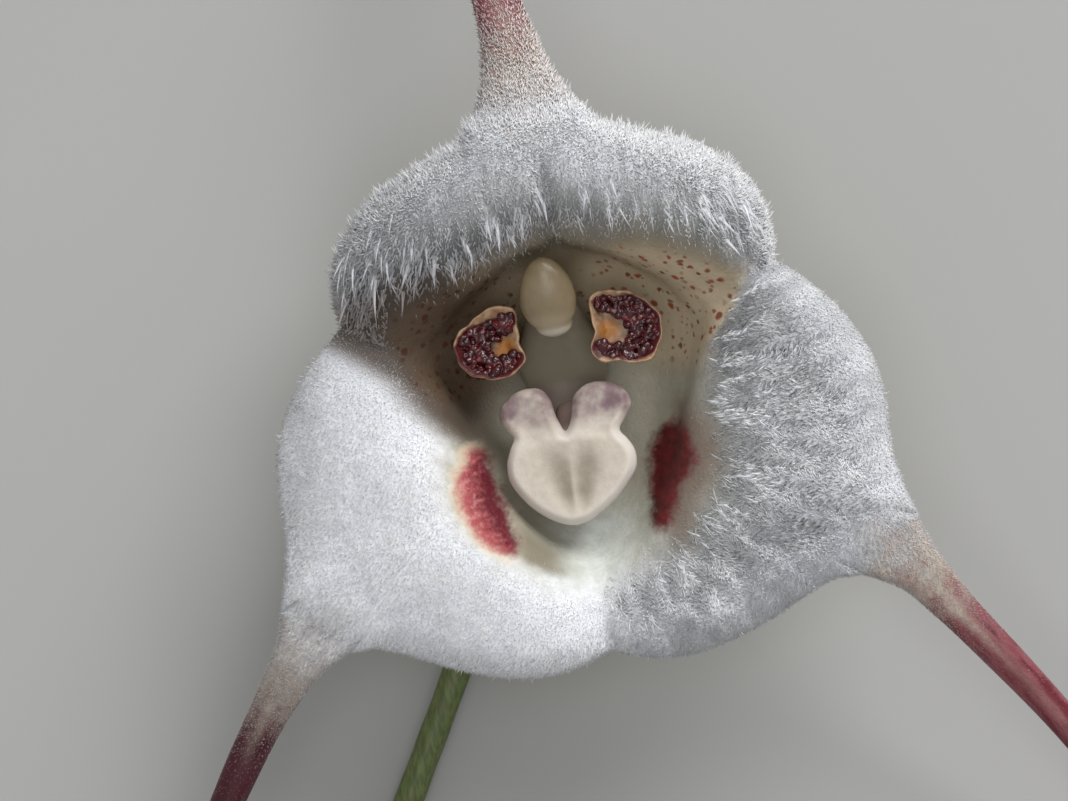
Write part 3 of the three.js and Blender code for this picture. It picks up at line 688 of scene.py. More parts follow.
def face_marks(points):
    """Where the sepals' face is bare, spotted and wine red, and where shade and the hood's shadow are painted
    on it, at points on it.
    """
    x, y = points[..., 0], points[..., 1]
    radius, angle = np.hypot(x, y), np.degrees(np.arctan2(y, x))
    bare = np.interp(angle, VELVET_ANGLE, VELVET_START) - radius
    wine = np.maximum(to_line(x, y, LEFT_MARK, LEFT_MARK_HALF), to_line(x, y, RIGHT_MARK, RIGHT_MARK_HALF))
    wide, long = rotated(np.abs(x) - SPOTTED_CENTRE[0], y - SPOTTED_CENTRE[1], -SPOTTED_TURN)
    oval = np.hypot(wide / SPOTTED_RADII[0], long / SPOTTED_RADII[1])
    outside = np.where(x < 0, outside_of(x, y, LEFT_MARK), outside_of(x, y, RIGHT_MARK))

    # Shaded under the dorsal sepal's hood, and under the combed hairs on the right.
    hood = between(angle, SINUS_ANGLE + 3, 8, 180 - SINUS_ANGLE - 3, 8)
    comb = between(angle, -78, 26, 24, 22) * (x > 0)
    shaded = hood * (1 - ease((-bare - 0.8) / mix(2.6, 4.2, leftward(x))))
    shaded = shaded + comb * (1 - ease((-bare - 0.3) / 3.6))
    # Painted shadow of the hood: a dusky patch from the left petal over the sepals' corner, darkened in
    # colour and with fewer hairs.
    beyond = x - np.interp(y, [p[1] for p in PAINTED_HOOD_SHADOW_EDGE], [p[0] for p in PAINTED_HOOD_SHADOW_EDGE])
    painted_hood_shadow = ease((beyond + mix(0.8, 1.25, ease(y / 3.0))) / 1.8) * ease((-x - 1.8) / 2.2)
    painted_hood_shadow = painted_hood_shadow * between(y, -2.0, 1.6, 8.8, 2.6)
    painted_hood_shadow = painted_hood_shadow * mix(0.12, 1.0, ease((-x - 3.4) / 1.8))

    # Painted shade along the throat's edge below the lip, on the left.
    chin_shade = between(bare, -0.15, 0.5, 2.6, 1.8) * between(x, -4.0, 0.9, -0.5, 1.9) * (y < -3.6)
    return {
        "bare": bare,
        "wine": wine,
        "outside": outside,
        "spotted": 1 - ease((oval - 0.7) / 0.45),
        "shaded": shaded,
        "painted_hood_shadow": painted_hood_shadow,
        "chin_shade": chin_shade,
    }


def tufts(points, dorsal):
    """The tufts that hairs gather in: how much of one is at each point, and the way towards its middle.

    They hang on the dorsal sepal and lie towards the throat on the others.
    """
    x, y, z = points[..., 0], points[..., 1], points[..., 2]
    radius = np.maximum(np.hypot(x, y), 1e-6)
    aside = np.where(dorsal, x / TUFT_WIDE[0], np.arctan2(y, x) * 8.0 / TUFT_WIDE[1])
    along = np.where(dorsal, (y + z) / TUFT_LONG[0], radius / TUFT_LONG[1])

    def strength(shift):
        return lumps(np.stack([aside + shift, along, 0 * aside], axis=-1), 1.0, 70.3)

    slope = (strength(0.15) - strength(-0.15)) / 0.3
    across = np.where(dorsal[..., None], [1.0, 0.0, 0.0], np.stack([-y / radius, x / radius, 0 * x], axis=-1))
    return ease(0.5 + 1.3 * strength(0.0)), slope[..., None] * across


def face_relief(points):
    """How far the sepals' face stands proud of its smooth form: creases, veins and small lumps."""
    x, y = points[..., 0], points[..., 1]
    radius = np.hypot(x, y)
    blade = ease((radius - 6.5) / 1.5)
    crease = CREASE * bell(x, 0.25, 0.42) * between(y, 7.6, 1.2, 12.6, 2)
    seam = SEAM * bell(x, -0.05, 0.5) * ease((-7.8 - y) / 1.8)
    fine = 0.05 * lumps(points, 0.9) + 0.09 * lumps(points, 2.4, 11.0)
    fine = fine + 0.09 * lumps(points, 0.75, 31.0) * (x > 0) * (y < x)
    return blade * fine - crease - seam


def back_relief(points):
    """Raised main veins on the sepals' back, from the ovary out to the tails."""
    x, y = points[..., 0], points[..., 1]
    radius = np.hypot(x, y)
    rise = np.zeros_like(x)
    for tail in TAILS:
        root = tail["line"].at(0.0)[:2]
        direction = root / np.hypot(*root)
        forward = x * direction[0] + y * direction[1]
        aside = x * direction[1] - y * direction[0]
        for offset, high in VEINS:
            bow = offset * forward * np.clip(1.3 - forward / np.hypot(*root), 0, 1)
            rise += high * bell(aside, bow, VEIN_WIDTH) * (forward > 0)
    return rise * between(radius, 2.5, 2, 16, 3)


def closed_at(hub, ring):
    """Triangles from a point to a closed ring of points."""
    return [[hub, ring[k], ring[(k + 1) % len(ring)]] for k in range(len(ring))]


def sepal_layers(points, layers):
    """Adds what the sepals' material and hairs need to know of every point of their skin."""
    layers.update(face_marks(points))
    x, y = points[:, 0], points[:, 1]
    lobe = np.round(layers["lobe"]).astype(int)
    # Painted shade: the dorsal sepal, the right sepal and the left sepal's upper corner are darkened where
    # less light falls on them.
    ends = mix(0.45, 1.0, ease((np.abs(y + 2.1) - 1.5) / 4.5))
    beside = PAINTED_SHADE_RIGHT * ends * ease((x + 0.6) / 2.4) + PAINTED_SHADE_CORNER * ease((y - 0.8) / 3.0) * (x < 0)
    layers["painted_shade"] = np.where(lobe == 1, PAINTED_SHADE_DORSAL + PAINTED_SHADE_LEFTWARD * leftward(x), beside)
    hanging = 1 - ease((-layers["bare"] - 1.2) / 3.0)
    lying = ease((x - 0.3) / 3.0) * (1 - 0.6 * ease((-layers["bare"] - 2.0) / 5.0)) * (lobe == 0)
    lying = lying * (1 - ease((layers["tail_run"] + 4.0) / 3.0))
    combed = np.where(lobe == 1, hanging, lying)
    tuft, _ = tufts(points, lobe == 1)
    # Painted shade in the gaps between the hairs' tufts; the tufts themselves get less of the painted shade
    # above.
    layers["tuft_gap_shade"] = (1 - tuft) * combed
    layers["painted_shade"] *= 1 - 0.6 * tuft * combed
    sooner = np.array(TINT_SOONER)[lobe] * ease((layers["tail_run"] + 3) / 3)
    layers["tint"] = layers["tail_run"] + sooner


def cup_sides(columns):
    """The cup's middle surface, how far it is in from the rim, and its face and back, row by row."""
    number, across = columns[:, 2].astype(int), columns[:, 3]
    rows = np.arange(1, CUP_ROWS * ROWS_PER_STEP + 1) / ROWS_PER_STEP
    rows = np.sort(np.concatenate([rows, [CUP_ROWS - 0.035, CUP_ROWS - 0.012]]))
    middle = cup_middle(columns[:, 0], columns[:, 1], rows)
    inward = np.linalg.norm(middle - middle[-1], axis=-1)
    thick = blade_thickness(inward)
    for k in np.flatnonzero((number >= 0) & (across > 0)):
        root = tail_thickness(TAILS[number[k]], 0.0, across[k])
        thick[:, k] = mix(root, BLADE, clamp01(inward[:, k] / TAIL_FADE))

    padded = np.concatenate([np.broadcast_to(CUP_CENTRE, (1, *middle.shape[1:])), middle, middle[-1:]])
    around = np.roll(middle, -1, axis=1) - np.roll(middle, 1, axis=1)
    up = unit(np.cross(padded[2:] - padded[:-2], around))
    for k in np.flatnonzero(number >= 0):
        tail_up = TAILS[number[k]]["line"].place(0.0)[3]
        share = (1 - ease(inward[:, k] / (2 * TAIL_FADE)))[:, None]
        up[:, k] = unit(mix(up[:, k], tail_up, share))

    fade = clamp01(inward / EDGE_ROUND)[..., None]
    half = up * thick[..., None] / 2
    face = middle + half + up * face_relief(middle)[..., None] * fade
    back = middle - half - up * back_relief(middle)[..., None] * fade
    return middle, inward, face, back


def tail_sides(tail, edge):
    """A tail's face and back, row by row from the cup's edge to its tip, and the layers on them."""
    turn = np.pi * np.arange(ACROSS_TAIL + 1) / ACROSS_TAIL
    line, half_width, length = tail["line"], tail["half_width"], tail["line"].length
    steps = length * (np.arange(1, TAIL_ROWS + 1) / TAIL_ROWS) ** 1.25
    steps[-1] = length - 0.01
    here, _, aside, up = line.place(steps)
    tip = np.sqrt(1 - clamp01((steps - length + TIP_ROUND) / TIP_ROUND) ** 2)[:, None]
    wide = tip * half_width(steps)[:, None] * np.cos(turn)
    spots = here[:, None] + aside[:, None] * wide[..., None]
    root, _, root_aside, _ = line.place(0.0)
    step = edge - (root + root_aside * half_width(0.0) * np.cos(turn)[:, None])
    spots = spots + step * (1 - ease(steps / TAIL_ROUND_BY))[:, None, None]
    thick = tip * tail_thickness(tail, steps[:, None], turn)
    thick[:, [0, -1]] = 0
    rough = 0.035 * lumps(spots, 0.5) + 0.05 * lumps(spots, 1.6, 5.0)
    rough = rough * np.sin(turn) * ease(steps / 2)[:, None]
    sides = [spots + up[:, None] * (sign * (thick / 2 + rough))[..., None] for sign in (1, -1)]
    return sides, {"inward": np.sin(turn) * 0.5, "tail_run": steps[:, None], "tail_side": np.cos(turn)}


def sepal_cup_mesh():
    """The whole cup with its tails, as one closed skin."""
    columns = cup_columns()
    middle, inward, *sides = cup_sides(columns)
    folded = np.degrees(np.arctan2(columns[:, 1], np.abs(columns[:, 0])))
    lobe = np.where(folded > SINUS_ANGLE, 1, np.where(columns[:, 0] > 0, 0, 2))
    root_distance = np.min([np.linalg.norm(middle - t["line"].at(0.0), axis=-1) for t in TAILS], axis=0)
    on_cup = {"inward": inward, "tail_run": -root_distance, "tail_side": 0.0, "lobe": lobe}
    on_hub = {"inward": 9.0, "tail_run": -15.0, "tail_side": 0.0, "lobe": 0}

    parts = SkinParts("front", "inward", "tail_run", "tail_side", "lobe")
    grids = [parts.add(points, front=front, **on_cup) for points, front in zip(sides, (1.0, 0.0))]
    for grid, front in zip(grids, (1.0, 0.0)):
        hub = CUP_CENTRE + [0, 0, BLADE * (front - 0.5)]
        hub = parts.add(hub[None], front=front, **on_hub)[0]
        parts.faces += wrapped_faces(grid)
        parts.faces += closed_at(hub, grid[0])
    for number, tail in enumerate(TAILS):
        first = int(np.flatnonzero(columns[:, 2] == number)[0])
        root = slice(first, first + ACROSS_TAIL + 1)
        length = tail["line"].length
        on_tip = {"inward": 0.5, "tail_run": length, "tail_side": 0.0, "lobe": number}
        sides, on_tail = tail_sides(tail, middle[-1, root])
        for grid, points, front in zip(grids, sides, (1.0, 0.0)):
            made = parts.add(points, front=front, lobe=number, **on_tail)
            parts.faces += open_faces(np.concatenate([grid[-1:, root], made])).reshape(-1, 4).tolist()
            end = parts.add(tail["line"].at(length)[None], front=front, **on_tip)[0]
            parts.faces += [[made[-1, k], end, made[-1, k + 1]] for k in range(ACROSS_TAIL)]

    points = np.concatenate(parts.points)
    points[:, 2] = np.maximum(points[:, 2], 0.0)
    layers = {key: np.concatenate(values).astype(float) for key, values in parts.layers.items()}
    sepal_layers(points, layers)
    return mesh_from("sepals", points, parts.faces, layers)


def sepal_material(settings):
    material, tree, place = new_material(
        "velvet sepal",
        Specular_IOR_Level=0.3,
        Subsurface_Weight=0.35,
        Subsurface_Radius=(1.0, 0.9, 0.75),
        Subsurface_Scale=0.7 * MM,
    )
    front, bare, wine = (attribute(tree, key) for key in ("front", "bare", "wine"))
    spotted, tail_run, tail_side = (attribute(tree, key) for key in ("spotted", "tail_run", "tail_side"))
    x, y = axis(place, "X"), axis(place, "Y")
    large = patches(place, 3.2)
    small = patches(place, 0.45, seed=2.0)
    grain = patches(place, 0.12, detail=2.0, seed=4.0)

    # White velvet, bluish and cream in turns, with a fine grain.
    white = blend(rising(large, 0.35, 0.65), settings.velvet, linear(226, 228, 233))
    white = blend(rising(small, 0.35, 0.7, 0.0, 0.35), white, linear(205, 206, 209))
    white = blend(rising(grain, 0.45, 0.75, 0.0, 0.3), white, linear(250, 250, 250))

    # Painted shade: greyer on the dorsal and right sepals, and grey over a glassy ground under the long hairs
    # of the brow and beside the throat, darker to the left and in the gaps between tufts.
    lobe = attribute(tree, "lobe")
    white = blend(attribute(tree, "painted_shade"), white, linear(182, 185, 190))
    to_left = rising(x, 0.5 * MM, -6.0 * MM)
    glassy = blend(to_left, linear(152, 152, 147), linear(112, 113, 113))
    white = blend(attribute(tree, "shaded"), white, glassy)
    white = blend(attribute(tree, "tuft_gap_shade") * (to_left * 0.3 + 0.3), white, linear(104, 105, 105))

    # The bare throat: greenish grey, olive behind the column, and paler below the lip, a pale floor lightened
    # further as painted light against the lip's shadow.
    height = y - THROAT[1] * MM
    olive = rising(height, 0.5 * MM, 5.5 * MM)
    throat = blend(olive, settings.throat, linear(146, 132, 106))
    aside = abs(x - FACE_X * MM)
    # Painted light: the floor below the lip's tip is lightened against the lip's shadow.
    lit_pale_floor = rising(height, -2.8 * MM, -5.2 * MM) * rising(aside, 3.0 * MM, 0.8 * MM, 0.35)
    throat = blend(lit_pale_floor, throat, linear(218, 223, 218))
    throat = blend(rising(small, 0.3, 0.75, 0.0, 0.25), throat, linear(140, 132, 112))
    edge = bare + small * 1.4 - 0.7
    colour = blend(rising(edge, -1.3, 0.9), white, throat)
    # Painted shade along the throat's edge below the lip.
    colour = blend(attribute(tree, "chin_shade") * 0.85, colour, linear(122, 112, 90))

    # The spotted ground and its spots, each a little oval; on the left both are darkened as painted shade,
    # and the painted shadow of the hood lies over them.
    ground = spotted * rising(bare + large, -0.3, 0.9)
    # Painted shadow of the hood, laid under the spotted ground and again, darker, over it.
    colour = blend(attribute(tree, "painted_hood_shadow") * 0.88, colour, linear(90, 78, 67))
    # Painted shade: the ground and its spots are darker and browner to the left.
    left = rising(x, 0.0, -4.0 * MM, 0.0, 0.85)
    ground_tone = blend(left, settings.spotted, linear(98, 74, 56))
    colour = blend(ground * 0.85, colour, ground_tone)
    # More of the painted shadow of the hood, over the spotted ground.
    colour = blend(attribute(tree, "painted_hood_shadow") * 0.45, colour, linear(62, 48, 38))
    wobble = result(tree, "ShaderNodeTexNoise", {"Vector": place, "Scale": 1 / (0.5 * MM)}, "Color")
    bent = {0: wobble, 1: (0.32 * MM,) * 3, 2: place}
    bent = result(tree, "ShaderNodeVectorMath", bent, operation="MULTIPLY_ADD")
    cells = node(tree, "ShaderNodeTexVoronoi", {"Vector": bent, "Scale": 1 / (0.42 * MM), "Randomness": 1.0})
    chances = node(tree, "ShaderNodeSeparateColor", {0: Value(cells.outputs["Color"])})
    chances = [Value(chance) for chance in chances.outputs]
    near = chances[0] * 0.32 + 0.1 - Value(cells.outputs["Distance"])
    dots = rising(near, -0.15, 0.12) * rising(spotted, 0.25, 0.85)
    dots = dots * rising(bare + small, -0.4, 0.7)
    dots = dots * rising(chances[1], 0.1, 0.5, 0.1, 0.9) * (1.0 - left * 0.15)
    dot_tone = blend(chances[2], settings.spot, linear(112, 50, 34))
    dot_tone = blend(left, dot_tone, linear(48, 20, 14))
    colour = blend(dots, colour, dot_tone)

    # The wine marks, rosy on the outside and deep inside; a faint cream fringe round the left one, and
    # grey-brown painted shade beside the right one, which is darker.
    level = result(tree, "ShaderNodeMapping", {"Vector": place, "Scale": (1.0, 1.0, 0.15)})
    speck = patches(level, 0.2, detail=4.0, rough=0.65, seed=9.0)
    ragged = wine + speck * 0.5 - 0.25
    ragged = ragged + patches(level, 0.6) * 0.8 - 0.4
    outside = attribute(tree, "outside")
    side = rising(x, 0.0, 0.5 * MM)
    fringe = rising(ragged, -0.6, -0.05) * rising(outside, -0.5, 0.5, 0.1, 0.6)
    # Painted shade: a grey-brown halo beside the right mark.
    painted_shade_halo = rising(ragged, -1.9, -0.3) * rising(outside, -0.2, 0.7, 0.0, 0.85)
    fringe = mix(fringe, painted_shade_halo, side)
    colour = blend(fringe, colour, blend(side, settings.fringe, linear(126, 110, 98)))
    rosy = outside + speck * 2.2 - 1.1
    deep = blend(rising(rosy, -0.5, 0.9), linear(92, 18, 32), settings.wine)
    flecks = rising(patches(level, 0.24, detail=3.0, seed=12.0), 0.45, 0.7, 0.0, 0.55)
    deep = blend(flecks * rising(outside, -0.4, 0.5), deep, linear(214, 150, 148))
    dark = blend(rising(patches(level, 0.5), 0.35, 0.65), linear(112, 30, 32), linear(78, 22, 22))
    deep = blend(side * 0.9, deep, dark)
    marked = rising(ragged, -0.36, 0.3)
    colour = blend(marked, colour, deep)

    # The tails run from white through tan blotches to wine, paler along the middle; the left tail is darker
    # all along as painted shade.
    streaky = result(tree, "ShaderNodeCombineXYZ", {0: tail_side * 1.4, 1: tail_run * 0.35, 2: large})
    streak = result(tree, "ShaderNodeTexNoise", {"Vector": streaky, "Scale": 1.3, "Detail": 4.0}, "Fac")
    middle = 1.0 - abs(tail_side)
    wedge = rising(middle, 0.3, 1.0) * rising(tail_run, 0.0, 1.0)
    wedge = wedge * rising(lobe, 0.0, 1.0, 1.0, 0.3)
    run = attribute(tree, "tint") - wedge * 1.6 + (small * 2.4 - 1.2) + (streak * 3.6 - 1.8)
    tan_tone = blend(rising(small, 0.35, 0.7), linear(186, 174, 156), linear(162, 128, 112))
    # Painted shade: the left tail's tan is greyer and darker.
    tan_tone = blend(rising(lobe, 1.0, 2.0, 0.0, 0.8), tan_tone, linear(134, 122, 108))
    colour = blend(rising(run, -2.0, 4.0, 0.0, 0.9), colour, tan_tone)
    outer = blend(rising(streak, 0.35, 0.65), settings.tail, linear(142, 82, 88))
    outer = blend(rising(streak, 0.55, 0.8, 0.0, 0.8), outer, linear(72, 18, 32))
    middle = rising(middle, 0.45, 1.0) * rising(tail_run, 20.0, 4.0)
    outer = blend(middle * 0.5, outer, linear(164, 128, 122))
    # Painted shade: the left tail's wine is darker.
    outer = blend(rising(lobe, 1.0, 2.0, 0.0, 0.85), outer, linear(58, 14, 26))
    colour = blend(rising(run, 2.8, 7.4), colour, outer)

    # The bald back: pale green cream with darker veins, purplish towards the tails.
    waves = {"Vector": streaky, "Scale": 1.2, "Distortion": 3.0, "Detail": 2.0}
    veins = result(tree, "ShaderNodeTexWave", waves, "Fac")
    back = blend(rising(large, 0.3, 0.7), settings.back, linear(196, 198, 160))
    back = blend(veins * 0.08, back, linear(150, 130, 110))
    back = blend(rising(run, -5.0, 4.0, 0.0, 0.75), back, linear(150, 92, 96))
    back = blend(rising(run, 2.0, 8.0), back, outer)
    colour = blend(rising(front, 0.4, 0.6), back, colour)

    # Velvet is dull, the bare throat wet, a mark dull again and a tail waxy.
    wet = rising(edge, -0.2, 0.8) * front
    waxy = rising(tail_run, 0.0, 6.0, 0.0, 0.22)
    roughness = marked * 0.3 - wet * 0.24 - waxy + 0.7
    return finished(material, colour, grain * 0.7 + small * 0.6, 0.06, roughness)


# ---- the hairs --------------------------------------------------------------------------------------------

HAIR_SIDES = 3
EDGE_HAIR = 0.45  # length of the hairs that stand out over the edges
EDGE_DENSITY = 26  # per square millimetre


def shape_tree(name, output, inputs):
    """A new geometry node tree with named inputs and one output, and those inputs as values."""
    tree = bpy.data.node_groups.new(name, "GeometryNodeTree")
    for key, kind in inputs.items():
        tree.interface.new_socket(key, in_out="INPUT", socket_type="NodeSocket" + kind)
    tree.interface.new_socket(output, in_out="OUTPUT", socket_type="NodeSocketGeometry")
    given = node(tree, "NodeGroupInput").outputs
    return tree, {key: Value(given[key]) for key in inputs}


def hair_tree(material):
    """Stands bent, tapering hairs on a mesh, as the growth, length and comb on its points say."""
    tree, given = shape_tree("orchid hairs", "Hairs", {
        "Skin": "Geometry", "Density": "Float", "Slenderness": "Float", "Bend": "Float", "Spread": "Float",
        "Joints": "Int", "Seed": "Int",
    })

    def stored(name, kind="FLOAT"):
        return result(tree, "GeometryNodeInputNamedAttribute", {"Name": name}, "Attribute", data_type=kind)

    def vector(operation, a, b=(0.0, 0.0, 0.0)):
        return result(tree, "ShaderNodeVectorMath", {0: a, 1: b}, operation=operation)

    def chance(first, low, high, seed, kind):
        inputs = {first: low, first + 1: high, "Seed": given["Seed"] + seed}
        return result(tree, "FunctionNodeRandomValue", inputs, first // 2, data_type=kind)

    density = given["Density"] * stored("hair_growth")
    spread = {"Mesh": given["Skin"], "Density": density, "Seed": given["Seed"]}
    spread = node(tree, "GeometryNodeDistributePointsOnFaces", spread)
    scatter = {0: chance(0, (-1.0,) * 3, (1.0,) * 3, 1, "FLOAT_VECTOR"), 3: given["Spread"]}
    scatter = result(tree, "ShaderNodeVectorMath", scatter, operation="SCALE")
    comb = stored("hair_comb", "FLOAT_VECTOR")
    lean = vector("NORMALIZE", vector("ADD", vector("ADD", Value(spread.outputs["Normal"]), comb), scatter))
    turned = result(tree, "FunctionNodeAlignRotationToVector", {"Vector": lean}, axis="Z")
    turned = {"Rotation": turned, "Vector": vector("ADD", comb, scatter)}
    turned = result(tree, "FunctionNodeAlignRotationToVector", turned, axis="X", pivot_axis="Z")
    length = stored("hair_length") * chance(2, 0.45, 1.25, 2, "FLOAT")

    cone = {"Vertices": HAIR_SIDES, "Side Segments": given["Joints"], "Radius Top": 0.0}
    cone.update({"Radius Bottom": given["Slenderness"], "Depth": 1.0})
    cone = result(tree, "GeometryNodeMeshCone", cone, "Mesh", fill_type="NONE")
    high = axis(result(tree, "GeometryNodeInputPosition"), "Z")
    bow = result(tree, "ShaderNodeCombineXYZ", {0: given["Bend"] * (high * high)})
    cone = result(tree, "GeometryNodeSetPosition", {"Geometry": cone, "Offset": bow})
    hairs = {"Points": Value(spread.outputs["Points"]), "Instance": cone, "Rotation": turned, "Scale": length}
    hairs = result(tree, "GeometryNodeInstanceOnPoints", hairs)
    hairs = result(tree, "GeometryNodeRealizeInstances", {"Geometry": hairs})
    hairs = result(tree, "GeometryNodeSetMaterial", {"Geometry": hairs, "Material": material})
    node(tree, "NodeGroupOutput", {0: hairs})
    return tree


def set_inputs(modifier, **values):
    for item in modifier.node_group.interface.items_tree:
        if item.in_out == "INPUT" and item.name in values:
            modifier[item.identifier] = values[item.name]


def grow_hairs(name, skin_mesh, tree, growth, length, comb, shadow=True, **values):
    """Hairs on a copy of the sepals' skin, as a plain mesh piece, which may be left without a shadow."""
    mesh = skin_mesh.copy()
    for key, layer in (("hair_growth", growth), ("hair_length", length), ("hair_comb", comb)):
        add_layer(mesh, key, layer)
    grown = new_object(name + " skin", mesh)
    modifier = grown.modifiers.new("hairs", "NODES")
    modifier.node_group = tree
    set_inputs(modifier, **values)
    piece = plain_mesh(grown, name)
    piece.visible_shadow = shadow
    bpy.data.meshes.remove(mesh)
    finish_piece(piece, "sepal")


def wander(points, size, seed):
    """A slowly turning vector field over the face, which leads combed hairs aside."""
    aside, along = lumps(points, size, seed), lumps(points, size, seed + 40.0)
    return np.stack([aside, along, 0 * aside], axis=-1)


def point_layers(mesh, *names):
    """Points in millimetres about the throat's axis, and the named values on them."""
    count = len(mesh.vertices)
    points = np.zeros(count * 3)
    mesh.vertices.foreach_get("co", points)
    values = []
    for name in names:
        layer = np.zeros(count)
        mesh.attributes[name].data.foreach_get("value", layer)
        values.append(layer)
    return points.reshape(-1, 3) / MM - THROAT, *values


class HairGround:
    """The sepals' skin, and what every kind of hair needs to know of its points."""

    def __init__(self, skin_mesh):
        names = ("front", "bare", "inward", "tail_run", "lobe", "wine", "shaded", "painted_hood_shadow")
        self.points, *values = point_layers(skin_mesh, *names)
        self.front, self.bare, self.inward, self.tail_run, lobe, self.wine, self.shaded, self.painted_hood_shadow = values
        self.skin_mesh = skin_mesh
        self.depth = -self.bare
        self.x, self.y = self.points[:, 0], self.points[:, 1]
        radius = np.maximum(np.hypot(self.x, self.y), 1e-6)
        self.to_throat = np.stack([-self.x / radius, -self.y / radius, 0 * self.x], axis=-1)
        self.right, self.dorsal, self.left = (np.round(lobe) == number for number in range(3))
        self.to_left = leftward(self.x)
        self.tuft, self.gather = tufts(self.points, self.dorsal)
        self.drooping = np.stack([0.03 * self.x, -1.0 + 0 * self.x, 0.1 + 0 * self.x], axis=-1)
        self.low = 1 - ease((self.points[:, 2] - 11.6) / 1.6)


def grow_velvet(at, tree, settings):
    """Short velvet: standing, leaning out over the edges; woolly and combed on the right and the brow."""
    on_tail = 1 - ease(at.tail_run / 9)
    edge = 1 - ease(at.inward / 1.6)
    woolly = at.right * ease((at.inward - 0.3) / 3.0) * (1 - ease((at.tail_run + 2.0) / 3.0))
    woolly = woolly + at.dorsal * (1 - ease((at.depth - 2.2) / 3.2)) * mix(0.4, 1.0, at.to_left)
    length = settings.velvet_length * mix(0.55, 1.0, on_tail) * mix(0.55, 1.0, ease(at.depth / 1.2))
    length = length * (1 + 0.8 * at.dorsal * (1 - ease((at.points[:, 2] - 12.2) / 1.0))) * (1 + 0.75 * woolly)
    outward = -at.to_throat * (0.9 * edge)[:, None]
    combed = np.where(at.dorsal[:, None], at.drooping, 0.9 * at.to_throat)
    combed = combed + 0.9 * wander(at.points, 0.9, 21.0) + 0.9 * at.gather
    comb = mix(outward, combed, (woolly * (1 - edge))[:, None])
    growth = (at.front > 0.5) * ease((0.5 - at.bare) / 1.9)
    growth = growth * mix(0.12, 1.0, on_tail) * (at.tail_run < 11)
    growth = growth * (1 - 0.8 * at.shaded) * (1 - 0.2 * woolly)
    growth = growth * ease((-at.wine - 0.1) / 0.5)
    growth = growth * mix(1.0, mix(0.55, 1.15, at.tuft), woolly) * (1 - 0.6 * at.painted_hood_shadow)
    for name, mask, strewn in (
        ("velvet_right", at.right, 0.5),
        ("velvet_dorsal", at.dorsal, 0.5),
        ("velvet_left", at.left, 0.25),
    ):
        grow_hairs(
            name, at.skin_mesh, tree, growth * mask, length, comb, Density=settings.velvet_density * PER_MM2,
            Slenderness=0.18, Bend=0.24 * strewn, Spread=strewn, Joints=1, Seed=RANDOM_SEED + len(name),
        )


def grow_brow(at, tree, settings):
    """Long hairs on the brow, which hang towards the throat and fan out, with finer ones between."""
    angle = np.degrees(np.arctan2(at.y, at.x))
    growth = at.dorsal * ease((at.depth - mix(0.8, 0.2, at.to_left)) / 0.8)
    growth = growth * (1 - ease((at.depth - 3.4) / 2.2))
    growth = growth * between(angle, SINUS_ANGLE + 2, 14, 180 - SINUS_ANGLE, 14)
    growth = growth * ease((at.inward - 0.3) / 1.2) * (1 - 0.8 * at.painted_hood_shadow)
    growth = growth * mix(0.25, 1.6, at.tuft)
    comb = mix(1.9, 2.5, at.to_left)[:, None] * at.drooping
    comb = comb + 0.6 * wander(at.points, 0.8, 5.0) + 1.1 * at.gather
    comb[:, 2] -= 0.95 * (1 - at.low)
    length = settings.brow_length * mix(0.62, 1.0, at.low) * mix(0.45, 1.0, ease((at.depth - 0.2) / 1.6))
    length = length * mix(0.6, 1.15, at.tuft)
    for name, mask, share, reach, slender in (
        ("brow_tufts", mix(0.8, 1.0, at.to_left), 1.1, 0.95, 0.085),
        ("brow_hairs", 1 - 0.5 * at.to_left, 1.6, 1.05, 0.045),
        ("brow_down", 1 - 0.4 * at.to_left, 3.2, 0.5, 0.08),
    ):
        grow_hairs(
            name, at.skin_mesh, tree, at.front * growth * mask, length * reach, comb, False,
            Density=settings.brow_density * PER_MM2 * share, Slenderness=slender, Bend=0.3, Spread=0.4,
            Joints=3, Seed=RANDOM_SEED + 31 + len(name),
        )


def grow_edge_hairs(at, tree):
    """Short stiff hairs that stand out over the dorsal sepal's edge, fewer on the others."""
    growth = (1 - ease((at.inward - 0.3) / 0.8)) * mix(0.25, 1.0, at.dorsal)
    growth = growth + 0.35 * at.dorsal * (at.depth > 3)
    clump = ease(0.5 + 1.6 * lumps(at.points, 0.4, 61.0))
    growth = (at.front > 0.5) * growth * (at.tail_run < 1.5) * mix(0.15, 1.7, clump)
    length = EDGE_HAIR * MM * mix(0.6, 1.0, at.dorsal) * mix(0.7, 1.0, at.low) * mix(0.7, 1.15, clump)
    outward = -1.3 * at.to_throat + 0.9 * wander(at.points, 0.4, 62.0)
    grow_hairs(
        "edge_hairs", at.skin_mesh, tree, growth, length, outward, False, Density=EDGE_DENSITY * PER_MM2,
        Slenderness=0.11, Bend=0.15, Spread=0.6, Joints=2, Seed=RANDOM_SEED + 53,
    )


def grow_combed_hairs(at, tree, settings):
    """Hairs on the right sepal, combed towards the throat."""
    growth = at.right * ease((at.depth - 0.2) / 2.4) * (1 - ease((at.depth - 5.5) / 3.5)) * (at.wine < -0.5)
    growth = growth * ease((at.x - 0.3) / 3.0) * mix(0.2, 1.8, at.tuft)
    near = 1 - ease((at.depth - 1.2) / 4.5)
    length = settings.comb_length * mix(0.5, 1.0, near) * mix(0.6, 1.15, at.tuft)
    combed = 1.5 * at.to_throat + 0.7 * wander(at.points, 0.9, 21.0) + 1.1 * at.gather
    grow_hairs(
        "combed_hairs", at.skin_mesh, tree, at.front * growth, length, combed, False,
        Density=3.2 * settings.brow_density * PER_MM2, Slenderness=0.11, Bend=0.3, Spread=0.5, Joints=2,
        Seed=RANDOM_SEED + 47,
    )


